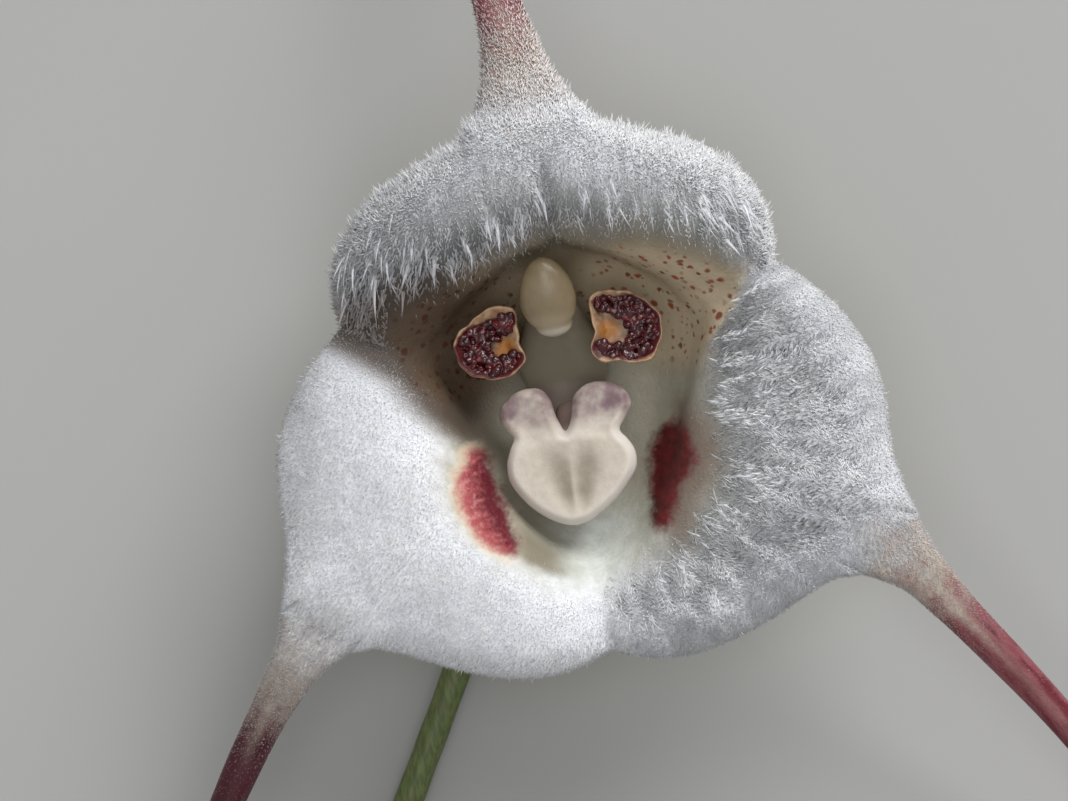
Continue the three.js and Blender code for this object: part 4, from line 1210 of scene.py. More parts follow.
def hair_material(settings):
    material, tree, place = new_material(
        "glassy hair", Roughness=0.3, Specular_IOR_Level=0.6, Subsurface_Weight=1.0,
        Subsurface_Radius=(1.0, 1.0, 1.0), Subsurface_Scale=0.25 * MM,
    )
    tone = blend(rising(patches(place, 0.6), 0.35, 0.65), settings.colour, linear(230, 233, 242))
    tone = blend(rising(patches(place, 0.16, seed=3.0), 0.4, 0.65, 0.0, 0.5), tone, linear(200, 201, 204))
    right, dorsal = (calc(tree, "COMPARE", attribute(tree, "lobe"), number, 0.5) for number in (0.0, 1.0))
    # Painted shade on the hairs: duller on the dorsal and right sepals, darker in the gaps between tufts and
    # beside the throat on the right.
    tone = blend(attribute(tree, "painted_shade"), tone, linear(186, 189, 196))
    tone = blend(attribute(tree, "tuft_gap_shade") * 0.85, tone, linear(132, 134, 138))
    tone = blend(attribute(tree, "shaded") * right * 0.8, tone, linear(138, 141, 141))
    leftmost = rising(axis(place, "X"), 1.0 * MM, -4.0 * MM, 0.35, 1.0)
    fringe = dorsal * leftmost * rising(attribute(tree, "bare"), -0.9, 0.0, 0.0, 0.7)
    tone = blend(fringe, tone, linear(168, 140, 112))
    tail = attribute(tree, "tint")
    tone = blend(rising(tail, 0.5, 5.5, 0.0, 0.85), tone, linear(168, 148, 136))
    tone = blend(rising(tail, 5.0, 9.0, 0.0, 0.85), tone, linear(108, 46, 56))
    wine = attribute(tree, "wine")
    tone = blend(rising(wine, -0.4, 0.2), tone, linear(196, 110, 120))
    # Painted shadow of the hood on the hairs.
    tone = blend(attribute(tree, "painted_hood_shadow") * 0.88, tone, linear(106, 93, 82))
    return finished(material, tone)


# ---- the petals -------------------------------------------------------------------------------------------

PETAL_BASE = [2.05, 4.4, 6.1]
PETAL_FACE = [3.15, 3.95, 9.0]  # the middle of the warty face
# Its outline from there: straight beside the column at 180, with a corner at each end of the straight side.
PETAL_REACH = {
    1: spline([-180, -141, -103, -60, -18, 24, 55, 82, 105, 124, 150, 180],
              [1.36, 1.93, 1.68, 1.95, 1.8, 1.58, 1.5, 1.53, 1.75, 2.05, 1.6, 1.36], True),
    -1: spline([-180, -150, -120, -89, -55, -28, 12, 35, 56, 80, 106, 134, 158, 180],
               [1.5, 1.95, 1.7, 1.55, 1.47, 1.44, 1.46, 1.36, 1.3, 1.42, 1.72, 2.15, 1.7, 1.5], True),
}
PETAL_DISH = 0.42  # how deep the face is sunk in its rim
PETAL_LET_IN = 0.7  # how much lower its stalk's end is, in the cup's floor
PETAL_SIDES = 96
PETAL_RINGS = (26, 20, 10)  # up the outside, over the rolled rim and in over the dish
FACE_RING = 30  # the first ring that belongs to the warty face
WART_VOXEL = 0.035  # the skin that joins the warts is made in cubes of this size
# The warts' band from the top of the straight side round the outside to its foot, its half widths, and the
# middle of the bare patch that it goes round.
WART_BAND = {
    1: [
        [-0.95, 1.1], [0.0, 0.9], [0.8, 0.55], [0.98, -0.1], [0.75, -0.85], [0.2, -1.2], [-0.4, -1.15],
        [-1.2, -0.9],
    ],
    -1: [[-1.3, 1.02], [-0.35, 0.6], [0.45, 0.2], [0.65, -0.3], [0.4, -0.8], [-0.4, -1.08], [-1.4, -0.82]],
}
WART_BAND_HALF = {
    1: [0.26, 0.4, 0.58, 0.8, 0.75, 0.45, 0.3, 0.36],
    -1: [0.26, 0.4, 0.6, 0.83, 0.64, 0.42, 0.34],
}
BARE_PATCH = {1: (-0.7, -0.1), -1: (-0.85, -0.2)}
WART_TRIES = 2000
WART_SPACING = 1.3  # the least from one wart's middle to another's, in wart radii
WART_REACH = 0.88  # how far out on the petal they go, as a share


def on_side(points, side):
    """Points worked out for the right petal, put on one side of the face."""
    return points * [side, 1, 1] + [FACE_X, 0, 0]


def petal_mesh(name, side):
    """One petal: a stalked cup whose rolled rim stands round its warty face."""
    line = Route([PETAL_BASE, [2.35, 4.35, 7.0], [2.8, 4.15, 7.9], PETAL_FACE])
    degrees = 360 * np.arange(PETAL_SIDES) / PETAL_SIDES - 180
    turn = np.radians(degrees)
    outline = PETAL_REACH[side](degrees)
    wavy = 1 + 0.025 * np.sin(5 * turn + side) + 0.018 * np.sin(11 * turn)

    def around(centre, share, shaped=1.0):
        """A ring, from a circle at 0 to the petal's own outline at 1."""
        reach = share * mix(1.6, outline, shaped) * mix(1.0, wavy, shaped)
        return centre + np.stack([np.cos(turn) * reach, np.sin(turn) * reach, np.zeros_like(turn)], axis=-1)

    flare = spline([0, 0.25, 0.5, 0.7, 0.86, 1.0], [0.3, 0.33, 0.42, 0.64, 0.88, 1.0])
    rings = [around(line.at(a * line.length), flare(a), a) for a in np.linspace(0, 1, PETAL_RINGS[0])]
    rim = spline([0, 0.15, 0.35, 0.6, 1.0], [1.0, 0.985, 0.94, 0.86, 0.6])
    rise = spline([0, 0.15, 0.35, 0.6, 1.0], [0.0, 0.13, 0.16, 0.06, -0.7 * PETAL_DISH])
    middle = np.array(PETAL_FACE)
    for a in np.linspace(0.05, 1, PETAL_RINGS[1]):
        rings.append(around(middle + [0, 0, rise(a)], rim(a)))
    for a in np.linspace(0, 0.9, PETAL_RINGS[2]):
        rings.append(around(middle + [0, 0, -PETAL_DISH * mix(0.7, 1.0, a)], 0.6 * (1 - a)))
    rings = np.array(rings)
    rings[FACE_RING:, :, 2] += 0.05 * lumps(rings[FACE_RING:], 0.45, 3.0 * side)
    rings[0, :, 2] -= PETAL_LET_IN
    points, faces = skin(rings, rings[0].mean(axis=0) - [0, 0, 0.1], middle - [0, 0, PETAL_DISH])
    rows = np.concatenate([[0], np.repeat(np.arange(len(rings)), PETAL_SIDES), [len(rings)]])
    local = points[:, :2] - middle[:2]
    band = to_line(local[:, 0], local[:, 1], WART_BAND[side], WART_BAND_HALF[side])
    band[rows < FACE_RING] = -1
    patch_x, patch_y = BARE_PATCH[side]
    orange = 1 - ease((np.hypot(local[:, 0] - patch_x, local[:, 1] - patch_y) - 0.25) / 0.4)
    orange[rows < FACE_RING] = 0
    layers = {"warts": band, "orange": orange, "petal_row": rows / len(rings)}
    return mesh_from(name, on_side(points, side), faces, layers)


def wart_points(side, radius):
    """Places for the warts: scattered over their band, none nearer another than most of a wart."""
    chooser = np.random.default_rng(RANDOM_SEED + side)
    tries = chooser.uniform([-1.7, -1.8], [1.8, 1.7], (WART_TRIES, 2))
    inside = to_line(tries[:, 0], tries[:, 1], WART_BAND[side], WART_BAND_HALF[side]) > 0.0
    degrees = np.degrees(np.arctan2(tries[:, 1], tries[:, 0]))
    inside &= np.hypot(tries[:, 0], tries[:, 1]) < WART_REACH * PETAL_REACH[side](degrees)
    kept = []
    for spot in tries[inside]:
        if all(np.hypot(*(spot - other)) > WART_SPACING * radius for other in kept):
            kept.append(spot)
    kept = np.array(kept)
    out = np.hypot(kept[:, 0], kept[:, 1])
    high = -0.16 + 0.1 * ease((out - 0.5) / 0.9) + chooser.uniform(-0.08, 0.1, len(kept))
    return on_side(np.column_stack([kept, high]) + PETAL_FACE, side)


def wart_tree(material):
    """Sets a lumpy, glossy wart on each point."""
    tree, given = shape_tree("petal warts", "Warts", {"Places": "Geometry", "Radius": "Float", "Seed": "Int"})
    ball = result(tree, "GeometryNodeMeshIcoSphere", {"Radius": 1.0, "Subdivisions": 3}, "Mesh")
    size = {2: 0.8, 3: 1.45, "Seed": given["Seed"]}
    size = result(tree, "FunctionNodeRandomValue", size, 1, data_type="FLOAT") * given["Radius"]
    warts = {"Points": given["Places"], "Instance": ball, "Scale": size}
    warts = result(tree, "GeometryNodeInstanceOnPoints", warts)
    warts = result(tree, "GeometryNodeRealizeInstances", {"Geometry": warts})
    bumps = result(tree, "ShaderNodeTexNoise", {"Scale": 1 / (0.22 * MM), "Detail": 1.0}, "Fac")
    height = calc(tree, "MULTIPLY_ADD", bumps, 0.16 * MM, -0.08 * MM)
    push = {0: result(tree, "GeometryNodeInputNormal"), 3: height}
    push = result(tree, "ShaderNodeVectorMath", push, operation="SCALE")
    warts = result(tree, "GeometryNodeSetPosition", {"Geometry": warts, "Offset": push})
    warts = result(tree, "GeometryNodeSetMaterial", {"Geometry": warts, "Material": material})
    node(tree, "NodeGroupOutput", {0: warts})
    return tree


def petal_material(settings):
    material, tree, place = new_material(
        "fleshy petal", Subsurface_Weight=0.3, Subsurface_Radius=(1.0, 0.6, 0.4), Subsurface_Scale=0.4 * MM
    )
    small = patches(place, 0.35)
    tone = blend(rising(small, 0.35, 0.7), settings.rim, linear(152, 116, 88))
    tone = blend(attribute(tree, "orange"), tone, settings.centre)
    ragged = attribute(tree, "warts") + small * 0.3 - 0.15
    tone = blend(rising(ragged, -0.16, 0.04), tone, settings.wart)
    foot = rising(attribute(tree, "petal_row"), 0.35, 0.0, 0.0, 0.6)
    tone = blend(foot, tone, linear(150, 150, 120))
    return finished(material, tone, patches(place, 0.12), 0.03, rising(small, 0.3, 0.7, 0.3, 0.5))


def wart_material(settings):
    material, _, place = new_material(
        "glossy wart", Roughness=0.22, Coat_Weight=0.45, Coat_Roughness=0.08, Subsurface_Weight=0.15,
        Subsurface_Radius=(1.0, 0.2, 0.2), Subsurface_Scale=0.25 * MM,
    )
    tone = blend(rising(patches(place, 0.3), 0.35, 0.65), settings.wart, linear(50, 5, 14))
    tone = blend(rising(patches(place, 0.7, seed=3.0), 0.55, 0.75), tone, linear(112, 20, 26))
    return finished(material, tone, patches(place, 0.1, detail=1.0), 0.02)


# ---- the lip ----------------------------------------------------------------------------------------------

LIP_TURN = math.radians(-2)  # it sits a little askew in the throat
LIP_HINGE = 2.2  # the point on its middle line that it turns about
LIP_EDGE = 8.75  # height of its blade's edge
LIP_TIP_Y = -4.63
LIP_EARS_Y = -0.5
# Its outline from the tip round the right half, the right ear, the cleft, the left ear and the left half.
LIP_OUTLINE = [
    [-0.05, -4.68], [0.5, -4.54], [1.08, -4.24], [1.65, -3.86], [2.4, -3.1], [2.92, -2.3], [2.94, -1.65],
    [2.62, -1.0], [2.34, -0.62],
    [2.62, -0.15], [2.98, 0.45], [2.72, 1.2], [1.85, 1.66], [0.95, 1.58], [0.38, 1.1], [0.22, 0.4],
    [0.06, -0.15], [-0.12, -0.42], [-0.3, -0.1], [-0.5, 0.42], [-0.66, 1.12], [-1.05, 1.62], [-1.7, 1.72],
    [-2.5, 1.42], [-2.98, 0.9], [-3.02, 0.35], [-2.72, -0.12], [-2.48, -0.44], [-2.68, -0.9], [-2.92, -1.6],
    [-2.9, -2.3], [-2.45, -3.15], [-1.62, -4.02], [-1.0, -4.42], [-0.5, -4.62], [-0.05, -4.68],
]
LIP_OUTLINE_STEPS = 700
LIP_GRID = 0.06
LIP_ROUND = 0.6  # how far in from its outline it is rounded
LIP_SWELL = 0.38  # how far it swells above its edge
LIP_UNDER = 1.0  # how deep it is below its edge
LIP_GROOVE = 0.28  # how deep the two grooves beside the middle ridge are
LIP_SPAN_X = (-3.2, 3.2)
LIP_SPAN_Y = (-4.8, 1.9)
CLAW_SIDES, CLAW_ROWS = 20, 14
CLAW_HALF_WIDTH = 0.6
CLAW_HALF_DEPTH = 0.4
CLAW_LINE = [[0, 0.6, 6.0], [0, 0.3, 6.6], [0, -0.5, 7.3], [0, -1.4, 7.8]]  # down to the column's foot
LIP_VOXEL = 0.06  # the skin that joins its parts is made in cubes of this size


def lip_depths(x, y):
    """How far points are inside the lip's outline, below 0 outside it, and the outline's nearest points."""
    line = Route(LIP_OUTLINE)
    edge = line.at(np.linspace(0, line.length, LIP_OUTLINE_STEPS))
    spots = np.column_stack([x.ravel(), y.ravel()])
    away = np.hypot(spots[:, None, 0] - edge[None, :, 0], spots[:, None, 1] - edge[None, :, 1])
    nearest = away.argmin(axis=1)
    start, end = edge[:-1], edge[1:]
    level = (start[None, :, 1] > spots[:, None, 1]) != (end[None, :, 1] > spots[:, None, 1])
    rise = np.where(end[:, 1] == start[:, 1], 1e-9, end[:, 1] - start[:, 1])
    crossing = start[:, 0] + (spots[:, None, 1] - start[:, 1]) * (end[:, 0] - start[:, 0]) / rise
    inside = (level & (spots[:, None, 0] < crossing)).sum(axis=1) % 2 == 1
    depth = away.min(axis=1) * np.where(inside, 1, -1)
    return depth.reshape(x.shape), edge[nearest].reshape(*x.shape, 2)


def groove_places(x, y):
    """The two soft teardrop grooves of the heart, 1 in their middles; they run together towards the tip."""
    up = clamp01((y - LIP_TIP_Y) / (LIP_EARS_Y - LIP_TIP_Y))
    middle = 0.72 * mix(0.35, 1.25, up**1.3)
    width = mix(0.28, 0.7, ease(up / 0.8))
    ends = ease((up - 0.06) / 0.3) * (1 - ease((up - 0.55) / 0.42))
    return bell(np.abs(x), middle, width) * ends


def lip_blade():
    """The heart-shaped blade and its two ears, as one cushion over its outline."""
    x, y = np.meshgrid(np.arange(*LIP_SPAN_X, LIP_GRID), np.arange(*LIP_SPAN_Y, LIP_GRID), indexing="ij")
    depth, nearest = lip_depths(x, y)
    full = (depth[:-1, :-1] > 0) | (depth[1:, :-1] > 0) | (depth[:-1, 1:] > 0) | (depth[1:, 1:] > 0)
    outer = depth <= 0
    x, y = np.where(outer, nearest[..., 0], x), np.where(outer, nearest[..., 1], y)
    depth = np.maximum(depth, 0)
    cushion = np.sqrt(1 - (1 - clamp01(depth / LIP_ROUND)) ** 2)
    ears = ease((y + 0.9) / 1.6)
    base = LIP_EDGE - 0.5 * ears
    dome = 0.1 * (1 - (np.hypot(x, y + 2.3) / 3.2) ** 2) * (1 - ears)
    margin = 0.08 * bell(depth, 0.32, 0.17)
    spots = np.stack([x, y, 0 * x], axis=-1)
    uneven = 0.05 * lumps(spots, 0.9, 3.0) + 0.16 * ears * lumps(spots, 1.3, 8.0)
    waist = 0.12 * bell(y, -0.62, 0.3) * ease((np.abs(x) - 0.9) / 0.8)
    face = LIP_SWELL + dome + margin + uneven - LIP_GROOVE * groove_places(x, y) - waist
    top = base + cushion * face
    under = base - cushion * LIP_UNDER * mix(1.0, 0.6, ears)
    points = np.concatenate([np.stack([x, y, z], axis=-1).reshape(-1, 3) for z in (top, under)])
    index = np.arange(x.size).reshape(x.shape)
    quads = open_faces(index)[full]
    faces = quads.tolist() + (quads[:, ::-1] + x.size).tolist()
    used = np.unique(np.array(faces))
    renumbered = np.zeros(len(points), int)
    renumbered[used] = np.arange(len(used))
    return points[used], renumbered[np.array(faces)].tolist()


def lip_claw():
    line = Route(CLAW_LINE)
    steps = np.linspace(0, line.length, CLAW_ROWS)
    return rod(line, steps, CLAW_SIDES, lambda d: 0 * d + CLAW_HALF_WIDTH, lambda d: 0 * d + CLAW_HALF_DEPTH,
               capped=0.15)


def lip_material(settings):
    material, tree, place = new_material(
        "waxy lip", Subsurface_Weight=0.5, Subsurface_Radius=(1.0, 0.8, 0.65), Subsurface_Scale=0.7 * MM,
        Specular_IOR_Level=0.35,
    )
    small = patches(place, 0.4)
    tone = blend(rising(small, 0.3, 0.7), settings.lip, linear(200, 191, 178))
    groove = attribute(tree, "groove") * rising(small, 0.1, 0.9, 0.75, 1.0)
    tone = blend(groove, tone, settings.lip_groove)
    tone = blend(attribute(tree, "margin"), tone, linear(216, 210, 204))
    blotch = patches(place, 0.8, seed=6.0)
    # The ears' colour is their own mauve in blotches, deepened and greyed as painted shade.
    ear = attribute(tree, "ear") * rising(blotch, 0.3, 0.7, 0.3, 1.0)
    tone = blend(ear, tone, settings.ears)
    tone = blend(attribute(tree, "claw"), tone, linear(142, 120, 114))
    return finished(material, tone, patches(place, 0.11), 0.018, rising(small, 0.3, 0.7, 0.5, 0.62))


def colour_lip(mesh):
    """Says where the lip's grooves, margin and ears are, on its points."""
    points, *_ = point_layers(mesh)
    x, y = rotated(points[:, 0] - FACE_X, points[:, 1] - LIP_HINGE, -LIP_TURN)
    y = y + LIP_HINGE
    depth, _ = lip_depths(x, y)
    margin = (1 - ease((depth - 0.2) / 0.35)) * (1 - ease((y + 0.9) / 0.8))
    above = points[:, 2] > LIP_EDGE - 0.35
    add_layer(mesh, "groove", groove_places(x, y) * above)
    add_layer(mesh, "margin", margin * 0.7)
    add_layer(mesh, "ear", ease((y + 0.7) / 1.3))
    add_layer(mesh, "claw", ease((LIP_EDGE - 0.9 - points[:, 2]) / 0.5))


# ---- the column and its anther cap ------------------------------------------------------------------------

# The column's foot runs along the cup's floor from the lip's hinge, and the column rises from it to its tip.
COLUMN_LINE = [[0, -1.2, 5.6], [0, 0.6, 5.75], [0, 2.0, 5.8], [0, 3.3, 6.5], [0, 4.4, 7.5], [0, 5.3, 8.7]]
COLUMN_SIDES, COLUMN_ROWS = 64, 60
COLUMN_STEP = [0, 1.8, 3.1, 4.4, 6.0, 7.6]
COLUMN_HALF_WIDTH = [1.2, 1.4, 1.75, 1.9, 1.45, 1.0]
COLUMN_HALF_DEPTH = [0.4, 0.5, 0.6, 0.8, 0.95, 0.8]
CAP_CENTRE = [0, 5.85, 9.75]
CAP_RADII = [1.27, 1.74, 0.72]
CAP_SEGMENTS, CAP_RINGS = 72, 48
CAP_VOXEL = 0.06  # the skin that joins the cap to its collar is made in cubes of this size
COLLAR_CENTRE = [0.06, 4.5, 9.2]
COLLAR_RADII = [0.86, 0.62, 0.5]
CAP_LEAN = math.radians(14)  # its lower end is towards the throat's floor


def column_mesh():
    line = Route(COLUMN_LINE)
    steps = np.linspace(0, line.length, COLUMN_ROWS)

    def shape(turn, d):
        """A shallow groove down the face that looks out, and low wings beside it."""
        groove = 0.16 * ease(d / 3) * np.maximum(0, np.sin(turn)) ** 6
        wings = 0.06 * ease((d - 1.5) / 2) * np.maximum(0, np.cos(2 * turn)) ** 2
        return 1 - groove + wings

    half_width, half_depth = spline(COLUMN_STEP, COLUMN_HALF_WIDTH), spline(COLUMN_STEP, COLUMN_HALF_DEPTH)
    points, faces = rod(line, steps, COLUMN_SIDES, half_width, half_depth, shape, 0.15)
    points = points + [FACE_X, 0, 0]
    return mesh_from("column_body", points, faces, {"rise": ease((points[:, 2] - 6) / 3)})


def cap_mesh():
    """The anther cap: an egg that is wider at its lower end, on a thin pale collar."""
    parts = []
    for number, (radii, centre) in enumerate(((CAP_RADII, CAP_CENTRE), (COLLAR_RADII, COLLAR_CENTRE))):
        ball = bmesh.new()
        bmesh.ops.create_uvsphere(ball, u_segments=CAP_SEGMENTS, v_segments=CAP_RINGS, radius=1.0)
        points = np.array([v.co[:] for v in ball.verts])
        faces = [[v.index for v in face.verts] for face in ball.faces]
        ball.free()
        points = points[:, [0, 2, 1]] * [1, 1, -1] * radii  # the poles point up and down the face
        if number == 0:
            y = points[:, 1] / radii[1]
            points[:, 0] *= 1 - 0.15 * y
            points[:, 2] = np.where(points[:, 2] < 0, points[:, 2] * 0.55, points[:, 2])
            ridge = 0.05 * bell(points[:, 0], 0, 0.35) * ease((y - 0.2) / 0.5)
            points[:, 2] += ridge * (points[:, 2] > 0)
        lean = np.array(Matrix.Rotation(CAP_LEAN, 3, "X"))
        points = points @ lean.T + centre
        parts.append((points, faces))
    points, faces = joined(parts)
    return mesh_from("anther_hood", points + [FACE_X, 0, 0], faces)


def cap_material(settings):
    material, _, place = new_material(
        "waxy anther cap", Roughness=0.36, Subsurface_Weight=0.5, Subsurface_Radius=(1.0, 0.8, 0.5),
        Subsurface_Scale=0.6 * MM, Coat_Weight=0.25, Coat_Roughness=0.18,
    )
    small = patches(place, 0.5)
    height = axis(place, "Y")
    tone = blend(rising(small, 0.3, 0.7), settings.cap, linear(134, 118, 90))
    low = rising(height, (THROAT[1] + 5.2) * MM, (THROAT[1] + 4.3) * MM, 0.0, 0.6)
    tone = blend(low, tone, linear(186, 172, 146))
    collar = rising(height, (THROAT[1] + 4.42) * MM, (THROAT[1] + 4.12) * MM, 0.0, 0.8)
    tone = blend(collar, tone, linear(196, 190, 174))
    return finished(material, tone, patches(place, 0.12), 0.015)


def column_material(settings):
    material, tree, place = new_material(
        "watery column", Subsurface_Weight=0.6, Subsurface_Radius=(1.0, 0.95, 0.8),
        Subsurface_Scale=0.8 * MM,
    )
    small = patches(place, 0.6)
    tone = blend(rising(small, 0.3, 0.7), settings.column, linear(124, 115, 100))
    tone = blend(attribute(tree, "rise"), linear(150, 144, 126), tone)
    height = axis(place, "Y")
    foot = rising(height, (THROAT[1] + 2.6) * MM, (THROAT[1] + 1.0) * MM, 0.0, 0.8)
    tone = blend(foot, tone, linear(124, 108, 100))
    return finished(material, tone, patches(place, 0.15), 0.02, foot * 0.4 + 0.34)


# ---- the ovary, bract and stem ----------------------------------------------------------------------------

STALK_LINE = [
    [0, 3.3, 3.95], [-0.08, 3.15, 3.2], [-0.45, 2.5, 2.0], [-1.2, 1.15, 1.0], [-2.1, -0.45, 0.86],
    [-3.5, -2.9, 1.22], [-5.3, -6.0, 1.52], [-7.3, -9.6, 1.44], [-10.7, -15.6, 0.95], [-13.4, -20.4, 0.72],
    [-16.0, -25.4, 0.7],
]
OVARY_STEP = [0, 0.5, 1.4, 2.6, 3.9, 5.2, 6.4, 7.6, 11]
OVARY_HALF_WIDTH = [0.95, 1.05, 1.15, 1.24, 1.24, 1.1, 0.7, 0.5, 0.5]
OVARY_SIDES, OVARY_ROWS = 72, 110
BRACT_SIDES, BRACT_ROWS = 96, 34
STEM_SIDES, STEM_ROWS = 40, 120
OVARY_RIBS = 6
OVARY_RIB = 0.09
OVARY_LET_IN = 0.6  # how much higher its end is, in the cup's wall
PEDICEL_END = 11.2  # distances along the centre line
BRACT_FROM = 9.4
BRACT_TO = 14.6
BRACT_RADIUS = [1.4, 1.26]  # outside, at its mouth and at its foot
BRACT_WALL = 0.42
BRACT_FOOT = [(0.12, 1.2), (0.25, 1.05), (0.34, 0.86), (0.38, 0.62), (0.2, 0.6)]  # how far on, and radius
STEM_RADIUS = [0.5, 0.56, 0.62, 0.66]
STEM_STEP = [0, 1.5, 4, 10]
STEM_FROM = PEDICEL_END - 0.2  # the stem starts inside the pedicel's end

stalk = Route(STALK_LINE)


def ovary_mesh():
    half_width = spline(OVARY_STEP, OVARY_HALF_WIDTH)
    steps = np.linspace(0.02, PEDICEL_END, OVARY_ROWS)

    def ribs(turn, d):
        fine = 0.012 * np.sin(17 * turn + 1.3 * d) + 0.01 * np.sin(9 * d)
        return 1 + fine - OVARY_RIB * np.cos(OVARY_RIBS * turn) * ease(d / 1.2) * ease((7 - d) / 1.5)

    points, faces = rod(stalk, steps, OVARY_SIDES, half_width, shape=ribs, capped=0.1)
    turn = np.tile(turns(OVARY_SIDES), OVARY_ROWS)
    rib = np.concatenate([[0], -np.cos(OVARY_RIBS * turn), [0]])
    along = np.concatenate([[0], np.repeat(steps, OVARY_SIDES), [PEDICEL_END]])
    points[: OVARY_SIDES + 1, 2] += OVARY_LET_IN
    points[:, 2] = np.maximum(points[:, 2], 0)  # it lies on one rib, which is pressed flat
    return mesh_from("ovary_ribbed", points, faces, {"rib": rib, "along": along})


def bract_mesh():
    """A papery sheath with fine ribs, a slanted mouth and a closed foot round the stem."""
    turn = turns(BRACT_SIDES)
    steps = np.linspace(BRACT_FROM, BRACT_TO, BRACT_ROWS)
    outer = np.interp((steps - BRACT_FROM) / (BRACT_TO - BRACT_FROM), [0, 1], BRACT_RADIUS)

    def ring(d, radius):
        here, _, aside, up = stalk.place(d)
        reach = np.broadcast_to(radius, turn.shape)[:, None]
        return here - np.cos(turn)[:, None] * reach * aside + np.sin(turn)[:, None] * reach * up

    def wall(rows, radii, inset):
        rings = []
        for d, radius in zip(rows, radii):
            mouth = max(0.0, 1 - (d - BRACT_FROM) / 1.2)
            slant = 0.9 * np.sin(turn) + 0.9 * np.maximum(0, np.sin(turn)) ** 5
            slant = (slant + 0.1 * np.sin(4 * turn + 1) + 0.06 * np.sin(9 * turn)) * mouth
            smooth = radius - inset * mix(1.0, 0.45, ease((BRACT_TO - d) / 3))
            rings.append(ring(d - slant, smooth + 0.025 * np.cos(16 * turn) * (1 - mouth)))
        return rings

    foot = [ring(BRACT_TO + tuck, radius) for tuck, radius in BRACT_FOOT]
    rings = np.array(wall(steps, outer, 0.0) + foot + wall(steps[::-1], outer[::-1], BRACT_WALL))
    index = np.arange(len(rings) * BRACT_SIDES).reshape(rings.shape[:2])
    faces = wrapped_faces(np.concatenate([index, index[:1]]))
    points = rings.reshape(-1, 3)
    points[:, 2] = np.maximum(points[:, 2], 0)
    return mesh_from("bract_papery", points, faces, {"turn": np.tile(turn, len(rings))})


def stem_mesh():
    radius = spline(STEM_STEP, STEM_RADIUS)
    steps = np.linspace(STEM_FROM, stalk.length, STEM_ROWS)

    def uneven(turn, d):
        return 1 + 0.02 * np.sin(7 * turn + 0.4 * d) + 0.015 * np.sin(2.2 * d)

    points, faces = rod(stalk, steps, STEM_SIDES, lambda d: radius(d - STEM_FROM), shape=uneven)
    end = stalk.at(stalk.length)
    cut = 1 - ease((np.linalg.norm(points - end, axis=1) - 0.72) / 0.1)
    cut[1 : -STEM_SIDES - 1] = 0
    points[:, 2] = np.maximum(points[:, 2], 0)
    return mesh_from("stem_cut", points, faces, {"cut": cut})


def ovary_material(settings):
    material, tree, place = new_material(
        "green ovary", Roughness=0.45, Subsurface_Weight=0.2, Subsurface_Radius=(0.8, 1.0, 0.4),
        Subsurface_Scale=0.4 * MM,
    )
    small = patches(place, 0.5)
    tone = blend(rising(small, 0.35, 0.65), settings.ovary, linear(128, 140, 84))
    tone = blend(rising(attribute(tree, "rib"), -0.2, 1.0, 0.0, 0.5), tone, linear(184, 186, 138))
    blush = attribute(tree, "along") + small * 3.0 - 1.5
    tone = blend(rising(blush, 6.0, 9.5, 0.0, 0.6), tone, linear(126, 84, 66))
    return finished(material, tone, patches(place, 0.09), 0.03)


def bract_material(settings):
    material, tree, place = new_material(
        "papery bract", Roughness=0.62, Subsurface_Weight=0.15, Subsurface_Radius=(1.0, 0.8, 0.5),
        Subsurface_Scale=0.3 * MM,
    )
    turn = attribute(tree, "turn")
    lines = calc(tree, "SINE", turn * 32.0)
    small = patches(place, 0.7)
    tone = blend(rising(small, 0.35, 0.65), settings.bract, linear(170, 152, 112))
    tone = blend(rising(lines, 0.2, 1.0, 0.0, 0.35), tone, linear(142, 120, 86))
    freckles = rising(patches(place, 0.16, seed=5.0), 0.6, 0.72, 0.0, 0.35)
    tone = blend(freckles, tone, linear(104, 72, 48))
    return finished(material, tone, lines + small, 0.03)


def stem_material(settings):
    material, tree, place = new_material("green stem", Roughness=0.5)
    small = patches(place, 0.5)
    stretched = {"Vector": place, "Rotation": (0, 0, math.radians(-28)), "Scale": (1.0, 0.12, 1.0)}
    stretched = result(tree, "ShaderNodeMapping", stretched)
    fibres = patches(stretched, 0.16, seed=1.0)
    tone = blend(rising(fibres, 0.35, 0.65), settings.stem, linear(82, 94, 52))
    tone = blend(rising(small, 0.55, 0.75, 0.0, 0.5), tone, linear(120, 84, 66))
    pith = blend(rising(patches(place, 0.14), 0.5, 0.62), linear(186, 190, 140),
                 linear(122, 130, 84))
    tone = blend(attribute(tree, "cut"), tone, pith)
    return finished(material, tone, fibres, 0.03)


# ---- the operators ----------------------------------------------------------------------------------------


class ORCHID_OT_sepals(bpy.types.Operator):
    """Build the cup of three sepals with its tails"""

    bl_idname = "orchid.sepals"
    bl_label = "Sepals"

    def execute(self, context):
        material = sepal_material(context.scene.orchid_sepals)
        add_piece("sepals", sepal_cup_mesh(), material, "sepal", "sepal_cup")
        return {"FINISHED"}


class ORCHID_OT_hairs(bpy.types.Operator):
    """Grow the velvet on the sepals, the long hairs of the brow and those combed towards the throat"""

    bl_idname = "orchid.hairs"
    bl_label = "Hairs"

    def execute(self, context):
        settings = context.scene.orchid_hairs
        at = HairGround(bpy.data.objects["sepals"].data)
        tree = hair_tree(hair_material(settings))
        grow_velvet(at, tree, settings)
        grow_brow(at, tree, settings)
        grow_edge_hairs(at, tree)
        grow_combed_hairs(at, tree, settings)
        bpy.data.node_groups.remove(tree)
        return {"FINISHED"}


